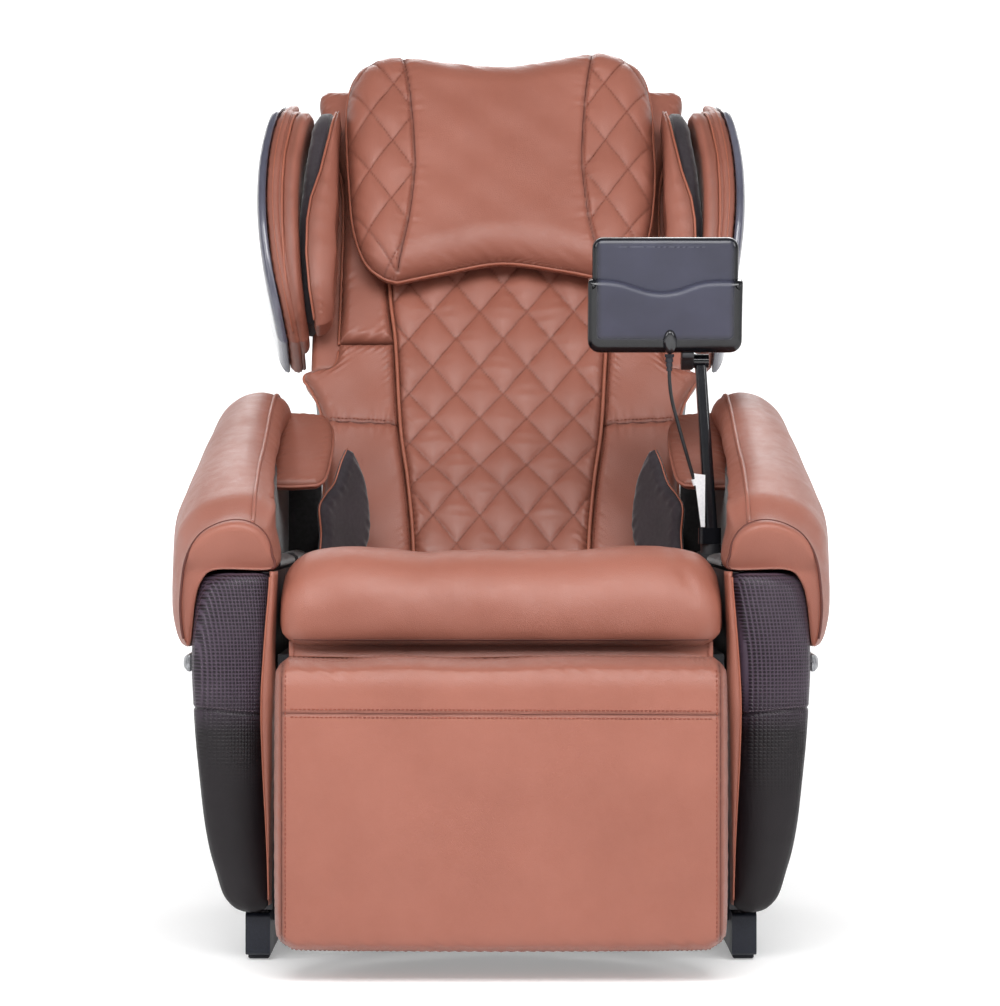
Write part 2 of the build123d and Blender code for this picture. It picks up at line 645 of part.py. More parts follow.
with BuildPart() as kneading_head:
    with BuildSketch(back_side_plane(60)):
        outline(
            [(KNEAD_V - 9, KNEAD_U - 8), (KNEAD_V - 9, KNEAD_U + 8), (-8, KNEAD_U + 38), (2, KNEAD_U + 38)]
            + [(-5, KNEAD_U), (2, KNEAD_U - 34), (-8, KNEAD_U - 34)],
            rounding=2,
        )
    extrude(amount=20)
    with BuildSketch(back_side_plane(74.5)):
        with Locations((KNEAD_V, KNEAD_U)):
            Circle(4)
    extrude(amount=49)
    with BuildSketch(back_side_plane(57)):
        with Locations((-3, KNEAD_U + 36), (-3, KNEAD_U - 32)):
            Circle(13)
    extrude(amount=14)
write_pair(kneading_head.part, "kneading_head")

# =====================================================================================
# Legrest
# =====================================================================================
BAR_HALF_IN, BAR_HALF_OUT = 180.0, 200.0
BAR_Y0, BAR_Y1 = -512.0, -501.0
with BuildPart() as swing_side:
    block(BAR_HALF_IN, BAR_HALF_OUT, BAR_Y0, BAR_Y1, 50, 306)
    with BuildSketch(side_plane(BAR_HALF_IN)):
        outline([(BAR_Y0, 280), (BAR_Y0, 306), (-448, 312), (-448, 286)])
        with Locations((LEG_PIVOT_Y, LEG_PIVOT_Z)):
            Circle(22)
    extrude(amount=BAR_HALF_OUT - BAR_HALF_IN)
    with BuildSketch(side_plane(BAR_HALF_IN - 1)):
        with Locations((LEG_PIVOT_Y, LEG_PIVOT_Z)):
            Circle(11)
    extrude(amount=BAR_HALF_OUT - BAR_HALF_IN + 2, mode=Mode.SUBTRACT)
with BuildPart() as swing_tube:
    rod_x(-218, 218, LEG_PIVOT_Y, LEG_PIVOT_Z, 11)
    rod_x(-233, 233, LEG_PIVOT_Y, LEG_PIVOT_Z, LEG_STUB_R)
    for crank_x in (-13, 7):
        link(crank_x, crank_x + 6, (LEG_PIVOT_Y, LEG_PIVOT_Z), (LEG_PIN_Y, LEG_PIN_Z), 13)
    rod_x(-13, 13, LEG_PIN_Y, LEG_PIN_Z, CRANK_PIN_R)
swing_frame = Compound(children=[*both_sides(swing_side.part).solids(), *swing_tube.part.solids()])
write(swing_frame, "legrest_swing_frame")

CUSHION_REAR_Y = -546.0
with BuildPart() as legrest_cushion:
    with BuildSketch(side_plane(-LEG_HALF)):
        outline(
            [
                (LEGREST_FRONT_Y, LEG_BOTTOM_Z),
                (LEGREST_FRONT_Y, LEG_TOP_Z),
                (CUSHION_REAR_Y, LEG_TOP_Z),
                (CUSHION_REAR_Y, LEG_BOTTOM_Z),
            ],
            rounding=30,
        )
    extrude(amount=2 * LEG_HALF)
    fillet(legrest_cushion.faces().group_by(Axis.X)[0].edges(), radius=12)
    fillet(legrest_cushion.faces().group_by(Axis.X)[-1].edges(), radius=12)
write(legrest_cushion.part, "legrest_cushion")

SHELL_REAR_Y, SHELL_WALL = -516.0, 3.0
with BuildPart() as legrest_back_shell:
    block(-228, 228, CUSHION_REAR_Y + 0.2, SHELL_REAR_Y, 45, 338)
    fillet(legrest_back_shell.edges().filter_by(Axis.Y), radius=18)
    fillet(legrest_back_shell.faces().sort_by(Axis.Y)[-1].edges(), radius=9)
    block(-218, 218, CUSHION_REAR_Y - 1, SHELL_REAR_Y - SHELL_WALL, 55, 328, Mode.SUBTRACT)
write(legrest_back_shell.part, "legrest_back_shell")

with BuildPart() as glider:
    for glider_z in (178, 245):
        block(170, 210, SHELL_REAR_Y, -495, glider_z, glider_z + 28)
        block(
            BAR_HALF_IN - 0.3,
            BAR_HALF_OUT + 0.3,
            BAR_Y0 - 0.3,
            BAR_Y1 + 0.3,
            glider_z - 1,
            glider_z + 29,
            Mode.SUBTRACT,
        )
write(both_sides(glider.part), "legrest_gliders")

# =====================================================================================
# Tablet controller on its stalk
# =====================================================================================
with BuildPart() as tablet_bracket:
    block(CHANNEL_X - 44, CHANNEL_X - 1, STALK_Y - 16, STALK_Y + 16, PANEL_TOP_Z + 1, 456)
    with BuildSketch(Plane.XY.offset(456)):
        with Locations((STALK_X, STALK_Y)):
            Circle(13)
    extrude(amount=11.7)
    with BuildSketch(Plane.XY.offset(467.7)):
        with Locations((STALK_X, STALK_Y)):
            Circle(7 + RUNNING)
    extrude(amount=-20, mode=Mode.SUBTRACT)
write(tablet_bracket.part, "tablet_bracket")

STALK_TOP_X = 250.0
GLAND_X, GLAND_Y, GLAND_Z = 251.5, -92.0, 488.0
with BuildPart() as tablet_stalk:
    with BuildSketch(Plane.XY.offset(449)):
        with Locations((STALK_X, STALK_Y)):
            Circle(7)
    extrude(amount=20)
    with BuildSketch(Plane.XY.offset(468)):
        with Locations((STALK_X, STALK_Y)):
            Circle(13)
        with Locations((GLAND_X, GLAND_Y)):
            Circle(5)
        with BuildLine():
            Line((STALK_X, STALK_Y), (GLAND_X, GLAND_Y))
        make_hull()
    extrude(amount=GLAND_Z - 468)
    with BuildSketch(Plane.XY.offset(GLAND_Z - 1)):
        with Locations((STALK_X, STALK_Y)):
            RectangleRounded(16, 24, 5)
    with BuildSketch(Plane.XY.offset(TILT_Z - 6)):
        with Locations((STALK_TOP_X, TILT_Y)):
            RectangleRounded(14, 20, 5)
    loft()
    rod_x(STALK_TOP_X - 9, STALK_TOP_X + 10, TILT_Y, TILT_Z, 9)
    rod_x(STALK_TOP_X - 25, STALK_TOP_X - 9, TILT_Y, TILT_Z, 4)
write(tablet_stalk.part, "tablet_stalk")

TABLET = Plane(
    origin=(TABLET_X, TILT_Y - 4, TILT_Z + 14),
    x_dir=(1, 0, 0),
    z_dir=(0, -math.cos(math.radians(TABLET_LEAN)), -math.sin(math.radians(TABLET_LEAN))),
)
HOLDER_HALF, HOLDER_TOP, HOLDER_THICK = 96.0, 96.0, 26.0
LUG_X0, LUG_X1 = 225.5, 240.5
TABLET_HALF, TABLET_TOP = 91.0, 139.0
with BuildPart() as tablet_holder:
    with BuildSketch(TABLET):
        outline(
            [(-HOLDER_HALF, 0), (HOLDER_HALF, 0), (HOLDER_HALF, HOLDER_TOP), (40, 84), (0, 76), (-40, 84)]
            + [(-HOLDER_HALF, HOLDER_TOP)],
            rounding=14,
        )
    extrude(amount=HOLDER_THICK)
    fillet(tablet_holder.faces().sort_by(Axis(TABLET.origin, TABLET.z_dir))[-1].edges(), radius=6)
    with BuildSketch(TABLET.offset(-1)):
        with Locations((0, 4 + TABLET_TOP / 2)):
            RectangleRounded(2 * TABLET_HALF, TABLET_TOP, 12)
    extrude(amount=17, mode=Mode.SUBTRACT)
    rod_x(LUG_X0, LUG_X1, TILT_Y, TILT_Z, 11)
    link(LUG_X0, LUG_X1, (TILT_Y, TILT_Z), (TILT_Y - 18, TILT_Z + 7), 6)
    rod_x(LUG_X0, LUG_X1 + 1, TILT_Y, TILT_Z, 4 + RUNNING, Mode.SUBTRACT)
write(tablet_holder.part, "tablet_holder")

with BuildPart() as tablet:
    with BuildSketch(TABLET.offset(-0.8)):
        with Locations((0, 4 + TABLET_TOP / 2)):
            RectangleRounded(2 * TABLET_HALF - 0.6, TABLET_TOP - 0.6, 12)
    extrude(amount=16)
    screen_side, shell_side = tablet.faces().filter_by(TABLET)
    fillet([*screen_side.edges(), *shell_side.edges()], radius=2.5)
write(tablet.part, "tablet")

BOOT_X, BOOT_Y, BOOT_Z = 210.0, -97.0, 684.0
with BuildPart() as cable_boot:
    with BuildSketch(Plane(origin=(BOOT_X, BOOT_Y, 0), x_dir=(1, 0, 0), z_dir=(0, -1, 0))):
        outline(
            [(0, BOOT_Z), (3.6, BOOT_Z), (3.6, 687), (3.0, 687), (3.0, 689), (4.2, 689), (4.2, 693)]
            + [(3.6, 693), (3.6, 695), (5.0, 695), (5.0, 699), (4.4, 699), (4.4, 701), (6, 701), (6, 704.6)]
            + [(0, 704.6)]
        )
    revolve(axis=Axis((BOOT_X, BOOT_Y, 0), (0, 0, 1)))
write(cable_boot.part, "cable_boot")

CORD_RUN = math.dist((BOOT_X, BOOT_Y), (GLAND_X, GLAND_Y))
CORD_PLANE = Plane(
    origin=(BOOT_X, BOOT_Y, 0),
    x_dir=(GLAND_X - BOOT_X, GLAND_Y - BOOT_Y, 0),
    z_dir=(GLAND_Y - BOOT_Y, BOOT_X - GLAND_X, 0),
)
CORD_POINTS = [(0, BOOT_Z), (0, 658), (13, 611), (26, 566), (37, 530), (CORD_RUN, 506), (CORD_RUN, GLAND_Z)]


def corner_radius(before, corner, after):
    """The largest easy arc at a corner of the cord's route, from its two runs and its turn."""
    first = Vector(*corner) - Vector(*before)
    second = Vector(*after) - Vector(*corner)
    half_turn = math.radians(first.get_angle(second)) / 2
    return 0.45 * min(first.length, second.length) / math.tan(half_turn)


CORD_BEND = min(corner_radius(*CORD_POINTS[i : i + 3]) for i in range(len(CORD_POINTS) - 2))
with BuildPart() as control_cord:
    with BuildLine(CORD_PLANE) as cord_route:
        FilletPolyline(*CORD_POINTS, radius=CORD_BEND)
    with BuildSketch(Plane(origin=cord_route.line @ 0, z_dir=cord_route.line % 0)):
        Circle(CORD_R)
    sweep()
write(control_cord.part, "control_cord")
print("cord bend radius", round(CORD_BEND, 1), "cord length", round(sum(e.length for e in cord_route.edges()), 1))

TAG_TOP_Z, TAG_BOTTOM_Z, TAG_Y = 556.0, 489.0, -95.9
TAG_CLIP = Vector(32.4, 545.05)
with BuildPart() as cord_tag:
    with BuildSketch(front_plane(TAG_Y)):
        outline([(241, TAG_TOP_Z), (255, TAG_TOP_Z - 2), (254.5, TAG_BOTTOM_Z), (249.5, TAG_BOTTOM_Z)])
    extrude(amount=0.6)
    clip_centre = CORD_PLANE.from_local_coords(TAG_CLIP)
    clip_axis = CORD_PLANE.from_local_coords(TAG_CLIP + Vector(11, -36)) - clip_centre
    with BuildSketch(Plane(origin=clip_centre, z_dir=clip_axis)):
        Circle(CORD_R + 1.2)
        Circle(CORD_R + 0.25, mode=Mode.SUBTRACT)
    extrude(amount=4, both=True)
write(cord_tag.part, "cord_tag")
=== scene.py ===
import json
import math

import bpy
import numpy as np
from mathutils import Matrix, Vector
from mathutils.bvhtree import BVHTree
from mathutils.geometry import tessellate_polygon


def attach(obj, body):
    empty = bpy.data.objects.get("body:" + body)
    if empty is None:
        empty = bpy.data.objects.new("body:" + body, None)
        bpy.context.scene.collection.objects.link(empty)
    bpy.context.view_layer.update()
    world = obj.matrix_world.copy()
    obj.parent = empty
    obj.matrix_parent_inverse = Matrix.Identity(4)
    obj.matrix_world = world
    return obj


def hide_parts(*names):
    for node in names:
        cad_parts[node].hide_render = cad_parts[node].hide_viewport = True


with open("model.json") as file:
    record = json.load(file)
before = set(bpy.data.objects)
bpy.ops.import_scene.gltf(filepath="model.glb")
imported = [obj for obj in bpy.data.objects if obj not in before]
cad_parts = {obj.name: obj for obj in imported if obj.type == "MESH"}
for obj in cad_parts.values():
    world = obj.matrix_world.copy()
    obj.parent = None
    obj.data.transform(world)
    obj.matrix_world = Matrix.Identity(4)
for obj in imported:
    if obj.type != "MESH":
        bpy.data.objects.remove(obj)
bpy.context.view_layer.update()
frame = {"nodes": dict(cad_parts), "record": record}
NODES = frame["nodes"]

# Lengths are in millimetres, except where metres are named. Piece names that end in _right get a left twin.
# The back's own axes: x across, u up along it, v out of its front.
TILT = math.radians(28)
SIN, COS = math.sin(TILT), math.cos(TILT)


def metres(x, y, z):
    """Points of the frame in metres, from millimetres."""
    return np.stack(np.broadcast_arrays(x, y, z), -1) / 1000


def on_back(x, u, v):
    """Points given in the back's own axes."""
    return metres(x, 145 + u * SIN - v * COS, 360 + u * COS + v * SIN)


def on_legrest(x, z, c):
    """Points on the legrest: c is the distance in front of the chair's middle."""
    return metres(x, -c, z)


def on_side(v, u, x):
    """Points of a shoulder wing: v and u are the back's axes, x the distance from the middle."""
    return on_back(x, u, v)


# ------------------------------------------------------------------ small numeric helpers
def catmull(a, b, c, d, t):
    """The stretch from b to c of a smooth line through four points."""
    return 0.5 * (2 * b + (c - a) * t + (2 * a - 5 * b + 4 * c - d) * t**2 + (3 * b - a - 3 * c + d) * t**3)


def lengths(p):
    """How far along a run of points each of them is."""
    return np.concatenate([[0], np.cumsum(np.linalg.norm(np.diff(p, axis=0), axis=1))])


def sample(t, run, p):
    """Points at the lengths t of a run of points."""
    return np.stack([np.interp(t, run, p[:, k]) for k in range(p.shape[1])], -1)


def curve(points):
    """A smooth curve through the points, as a function of the share of its length."""
    fine = np.array(points, float)
    if len(fine) > 2:
        padded = np.vstack([2 * fine[0] - fine[1], fine, 2 * fine[-1] - fine[-2]])
        t = np.linspace(0, 1, 24, endpoint=False)[:, None]
        spans = [catmull(*padded[i - 1 : i + 3], t) for i in range(1, len(padded) - 2)]
        fine = np.vstack(spans + [fine[-1:]])
    run = lengths(fine)
    run /= run[-1]
    return lambda t: sample(t, run, fine)


def loop(points, n):
    """A smooth closed ring of n points, evenly spaced, through the given ones."""
    p = np.array(points, float)
    m = len(p)
    t = np.linspace(0, 1, 16, endpoint=False)[:, None]
    spans = [catmull(p[i - 1], p[i], p[(i + 1) % m], p[(i + 2) % m], t) for i in range(m)]
    fine = np.vstack(spans + [p[:1]])
    run = lengths(fine)
    return sample(np.linspace(0, run[-1], n, endpoint=False), run, fine)


def resample(points, step):
    """The same run with points about a step apart."""
    p = np.array(points, float)
    run = lengths(p)
    count = max(2, int(round(run[-1] / step)) + 1)
    return sample(np.linspace(0, run[-1], count), run, p)


def through(points):
    """A smooth function y of x through the points."""
    fine = curve(points)(np.linspace(0, 1, 400))
    return lambda x: np.interp(x, fine[:, 0], fine[:, 1])


def outward(ring):
    """Unit normals of a closed flat ring, away from its inside."""
    ahead = np.roll(ring, -1, 0) - np.roll(ring, 1, 0)
    normal = np.stack([ahead[:, 1], -ahead[:, 0]], -1)
    normal /= np.linalg.norm(normal, axis=1)[:, None] + 1e-9
    area = (ring[:, 0] * np.roll(ring[:, 1], -1) - np.roll(ring[:, 0], -1) * ring[:, 1]).sum()
    return normal if area > 0 else -normal


def waves(s, seed, length):
    """A smooth irregular wave along s, between about -1 and 1."""
    rng = np.random.RandomState(seed)
    total = 0.0
    for _ in range(5):
        total = total + np.sin(s / length * 2 * np.pi * rng.uniform(0.5, 1.9) + rng.uniform(0, 6.3)) / 2.6
    return total


def swell(x, y, seed, length):
    """A smooth irregular surface, between about -1 and 1."""
    rng = np.random.RandomState(seed)
    total = 0.0
    for _ in range(7):
        a = rng.uniform(0, np.pi)
        w = 2 * np.pi / length * rng.uniform(0.5, 1.7)
        total = total + np.sin((x * np.cos(a) + y * np.sin(a)) * w + rng.uniform(0, 6.3)) / 3
    return total


def to_line(x, y, points):
    """Distance to a run of points, and how far along it the nearest place is."""
    best = np.full(x.shape, 1e9)
    along = np.zeros(x.shape)
    run = 0.0
    for (x0, y0), (x1, y1) in zip(points[:-1], points[1:]):
        dx, dy = x1 - x0, y1 - y0
        size = math.hypot(dx, dy) + 1e-9
        t = np.clip(((x - x0) * dx + (y - y0) * dy) / size**2, 0, 1)
        d = np.hypot(x - x0 - t * dx, y - y0 - t * dy)
        nearer = d < best
        along = np.where(nearer, run + t * size, along)
        best = np.where(nearer, d, best)
        run += size
    return best, along


def roundness(d, r):
    """0 at an edge and 1 from r inside it, like a quarter circle."""
    return np.sqrt(np.clip(1 - (1 - np.clip(d / r, 0, 1)) ** 2, 0, 1))


# ------------------------------------------------------------------ mesh helpers
BODY_OF = {}


def linked(name, data, body=None):
    """A new object in the scene, which rides on a body if one is given."""
    obj = bpy.data.objects.new(name, data)
    bpy.context.scene.collection.objects.link(obj)
    if body:
        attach(obj, body)
        BODY_OF[name] = body
    return obj


def piece(name, verts, faces, material, body, painted_shade=None):
    """A smooth-shaded mesh piece. An optional array of painted shade darkens the material point by point."""
    mesh = bpy.data.meshes.new(name)
    mesh.from_pydata([tuple(map(float, v)) for v in verts], [], [tuple(map(int, f)) for f in faces])
    mesh.validate()
    mesh.update()
    mesh.polygons.foreach_set("use_smooth", [True] * len(mesh.polygons))
    if painted_shade is not None:
        layer = mesh.attributes.new("painted_shade", "FLOAT", "POINT")
        layer.data.foreach_set("value", np.asarray(painted_shade, np.float32))
    mesh.materials.append(material)
    return linked(name, mesh, body)


def left_twin(obj):
    """The same piece on the other side of the chair."""
    name = obj.name.replace("_right", "_left")
    mesh = obj.data.copy()
    mesh.name = name
    co = np.zeros(len(mesh.vertices) * 3, np.float32)
    mesh.vertices.foreach_get("co", co)
    co[::3] *= -1
    mesh.vertices.foreach_set("co", co)
    mesh.flip_normals()
    mesh.update()
    return linked(name, mesh, BODY_OF[obj.name])


def declare(obj, slot="tan_leather", node=None, fill=None):
    """Hides the node that a piece replaces; slot and fill are not used. A right piece gets its left twin here."""
    if node:
        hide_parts(node)
    if obj.name.endswith("_right"):
        declare(left_twin(obj), slot, node and node.replace("_right", "_left"), fill)
    return obj


def quads(rows, cols, first=0, wrap=False, flip=False):
    """Faces of a grid of vertices stored row by row."""
    faces = []
    for r in range(rows - 1):
        for c in range(cols if wrap else cols - 1):
            a, b = first + r * cols + c, first + r * cols + (c + 1) % cols
            face = (a, b, b + cols, a + cols)
            faces.append(face[::-1] if flip else face)
    return faces


def tube_faces(count, sides, first=0):
    """Faces of a capped tube of rings stored one after another."""
    last = first + (count - 1) * sides
    caps = [tuple(first + c for c in range(sides))[::-1], tuple(last + c for c in range(sides))]
    return quads(count, sides, first, wrap=True) + caps


def spaced(n):
    """0 to 1 in n steps, closer together near both ends."""
    crowding = 0.55
    t = np.linspace(0, 1, n + 1)
    return (1 - crowding) * t + crowding * (0.5 - 0.5 * np.cos(np.pi * t))


def hits(tree, rays):
    """Where (start, aim) rays in metres meet a surface, and its normals there, turned towards them."""
    out, normals = [], []
    for start, aim in rays:
        hit, normal, _, _ = tree.ray_cast(Vector(start), Vector(aim).normalized(), 2.0)
        if hit is not None:
            out.append(np.array(hit))
            normals.append(np.array(-normal if normal.dot(Vector(aim)) > 0 else normal))
    return np.array(out), np.array(normals)


def on_mesh(obj, starts, aim):
    """Where rays from the starts meet a piece, with its normals there."""
    mesh = obj.data
    tree = BVHTree.FromPolygons([v.co for v in mesh.vertices], [tuple(p.vertices) for p in mesh.polygons])
    return hits(tree, [(start, aim) for start in starts])


class Pad:
    """A stuffed closed form on a four-sided outline. Its two faces meet along the outline.

    front and back are each (how thick it is, how far inside the outline it is as thick as that).
    """

    def __init__(self, name, edges, mid, front, back, place, body, n, node=None, slot="tan_leather", material=None,
                 fill=0.7, seams=(), shape=None, flip=False, waviness=0.6, seed=1, quilt=None):
        bottom, right, top, left = (curve(e) for e in edges)
        s, t = np.meshgrid(spaced(n[0]), spaced(n[1]))
        s3, t3 = s[..., None], t[..., None]
        corners = (
            (1 - s3) * (1 - t3) * bottom(0.0) + s3 * (1 - t3) * bottom(1.0)
            + (1 - s3) * t3 * top(0.0) + s3 * t3 * top(1.0)
        )
        xy = (1 - t3) * bottom(s) + t3 * top(s) + (1 - s3) * left(t) + s3 * right(t) - corners
        x, y = xy[..., 0], xy[..., 1]
        there, back_again = np.linspace(0, 1, 90), np.linspace(1, 0, 90)
        outline = np.vstack([bottom(there), right(there), top(back_again), left(back_again)])
        d = np.full(x.shape, 1e9)
        for k in range(0, len(outline), 60):
            part = outline[k : k + 60]
            d = np.minimum(d, np.sqrt((x[..., None] - part[:, 0]) ** 2 + (y[..., None] - part[:, 1]) ** 2).min(-1))
        on_edge = np.zeros_like(x, bool)
        on_edge[0, :] = on_edge[-1, :] = on_edge[:, 0] = on_edge[:, -1] = True
        d[on_edge] = 0
        # painted shade: darker towards the outline, where the pad's edge tucks in
        painted_shade = np.exp(-d / 5.0) * 0.5
        lift = waviness * swell(x, y, seed, 90) * roundness(d, 30)
        for seam in seams:
            gap, along = to_line(x, y, seam["line"])
            lift -= seam["depth"] * np.exp(-((gap / seam["width"]) ** 2))
            lift -= seam.get("valley", 0) * np.exp(-gap / 18)
            pucker = seam.get("pucker", 0.0)
            if pucker:
                lift += pucker * np.exp(-((gap - 5) / 11) ** 2) * waves(along, seed + 7, seam.get("beat", 16))
            # painted shade along each seam
            painted_shade += 0.8 * np.exp(-((gap / 2.2) ** 2))
        if quilt is not None:
            rise, dark = quilt(x, y)
            lift += rise * roundness(d, 16)
            # painted shade along the quilt's creases
            painted_shade += dark
        edge_wave = 0.8 * min(1, waviness) * np.exp(-((d - 9) / 8) ** 2) * waves((x + y * 1.3), seed + 3, 26)
        height, radius = front
        c_front = mid + height * roundness(d, radius) + (lift + edge_wave) * roundness(d, 8)
        if shape is not None:
            c_front = c_front + shape(x, y) * roundness(d, radius)
        depth, rear_radius = back
        if callable(depth):
            depth = depth(x, y)
        c_back = mid - depth * roundness(d, rear_radius)
        rows, cols = x.shape
        front_points = place(x, y, c_front).reshape(-1, 3)
        back_points = place(x, y, c_back).reshape(-1, 3)
        inner = ~on_edge.reshape(-1)
        number = np.arange(rows * cols)
        number[inner] = np.arange(inner.sum()) + rows * cols
        grid = quads(rows, cols, flip=flip)
        rear = [tuple(number[list(face)])[::-1] for face in grid]
        painted_shade = np.concatenate([painted_shade.reshape(-1), np.zeros(inner.sum())])
        self.obj = declare(piece(name, np.vstack([front_points, back_points[inner]]), grid + rear,
                                 material or tan_leather, body, np.clip(painted_shade, 0, 1)), slot, node, fill)
        self.place, self.mid = place, mid
        self.tree = BVHTree.FromPolygons([Vector(map(float, v)) for v in front_points], quads(rows, cols))
        self.ring = np.vstack([xy[0, :], xy[1:, -1], xy[-1, -2::-1], xy[-2:0:-1, 0]])

    def lay(self, points, pitch):
        """A run on the pad's front, with points about a pitch apart, and the surface's normals there."""
        rays = []
        for a, b in resample(points, pitch):
            start = Vector(self.place(a, b, self.mid + 140.0))
            rays.append((start, Vector(self.place(a, b, self.mid)) - start))
        return hits(self.tree, rays)


def loft(name, rings, material, body, painted_shade=None):
    """A closed form through rings of equal count, in metres, capped at both ends and facing outwards."""
    rings = np.array(rings, float)
    n, m = rings.shape[:2]
    faces = quads(n, m, wrap=True)
    for first, turned in ((0, True), ((n - 1) * m, False)):
        ring = rings[first // m]
        area = np.cross(ring - ring[0], np.roll(ring, -1, 0) - ring[0]).sum(0)
        for a, b, c in tessellate_polygon([[Vector(v) for v in ring]]):
            agrees = np.cross(ring[b] - ring[a], ring[c] - ring[a]).dot(area) > 0
            faces.append(tuple(first + k for k in ((a, b, c) if agrees != turned else (c, b, a))))
    volume = 0.0
    for a, b in zip(rings[:-1], rings[1:]):
        a2, b2 = np.roll(a, -1, 0), np.roll(b, -1, 0)
        volume += (np.cross(a, a2) * b2).sum() + (np.cross(a, b2) * b).sum()
    if volume < 0:
        faces = [f[::-1] for f in faces]
    return piece(name, rings.reshape(-1, 3), faces, material, body, painted_shade)


def piping(name, points, radius, body, material=None, closed=False):
    """A round leather cord along points in metres."""
    sides = 8
    p = np.array(points, float)
    ahead = np.roll(p, -1, 0) - np.roll(p, 1, 0)
    if not closed:
        ahead[0], ahead[-1] = p[1] - p[0], p[-1] - p[-2]
    ahead /= np.linalg.norm(ahead, axis=1)[:, None] + 1e-12
    side = np.cross(ahead[0], [0.3, 0.2, 1.0])
    side /= np.linalg.norm(side)
    angles = np.linspace(0, 2 * np.pi, sides, endpoint=False)
    verts = []
    for centre, along in zip(p, ahead):
        side = side - along * side.dot(along)
        side /= np.linalg.norm(side)
        up = np.cross(along, side)
        verts.append(centre + radius / 1000 * (np.cos(angles)[:, None] * side + np.sin(angles)[:, None] * up))
    faces = tube_faces(len(p), sides)
    if closed:
        last = (len(p) - 1) * sides
        faces[-2:] = [(last + c, last + (c + 1) % sides, (c + 1) % sides, c) for c in range(sides)]
    return declare(piece(name, np.vstack(verts), faces, material or piping_leather, body))


def stitches(name, rows, body, length, radius, material=None, slot="tan_leather"):
    """Separate stitches. Each row is (points, normals) in metres; a stitch spans two neighbouring points."""
    verts, faces = [], []
    sides, sink, longest = 6, 0.1, 0.02
    ring = np.linspace(0, 2 * np.pi, sides, endpoint=False)
    for points, normals in rows:
        for a, b, n in zip(points[:-1], points[1:], normals[:-1]):
            run = b - a
            size = np.linalg.norm(run)
            if size < 1e-5 or size > longest:
                continue
            t = run / size
            n = n - t * n.dot(t)
            n /= np.linalg.norm(n) + 1e-12
            side = np.cross(t, n)
            centre = (a + b) / 2 + n * (radius - sink) / 1000 * 0.6
            half = min(size * 0.36, length / 2000)
            faces += tube_faces(4, sides, len(verts))
            for place, scale, down in ((-1, 0.35, 0.7), (-0.72, 1, 0), (0.72, 1, 0), (1, 0.35, 0.7)):
                for angle in ring:
                    verts.append(
                        centre + t * half * place
                        + (side * math.cos(angle) * scale + n * (math.sin(angle) * 0.8 * scale - down)) * radius / 1000
                    )
    return declare(piece(name, np.array(verts), faces, material or thread, body), slot)


def seam_shadow_line(name, rows, body, radius=0.55):
    """Thin dark tubes of painted shadow where two panels are sewn together."""
    verts, faces = [], []
    sides = 6
    for points, normals in rows:
        p = np.array(points) - np.array(normals) * radius * 0.0002
        ahead = np.gradient(p, axis=0)
        ahead /= np.linalg.norm(ahead, axis=1)[:, None]
        side = np.cross(ahead, normals)
        side /= np.linalg.norm(side, axis=1)[:, None]
        faces += tube_faces(len(p), sides, len(verts))
        for k in range(len(p)):
            for angle in np.linspace(0, 2 * np.pi, sides, endpoint=False):
                verts.append(p[k] + radius / 1000 * (math.cos(angle) * side[k] + math.sin(angle) * normals[k]))
    return declare(piece(name, np.array(verts), faces, seam_shadow, body))


# ------------------------------------------------------------------ materials
def srgb(r, g, b):
    def channel(c):
        c /= 255
        return c / 12.92 if c <= 0.04045 else ((c + 0.055) / 1.055) ** 2.4
    return (channel(r), channel(g), channel(b), 1.0)


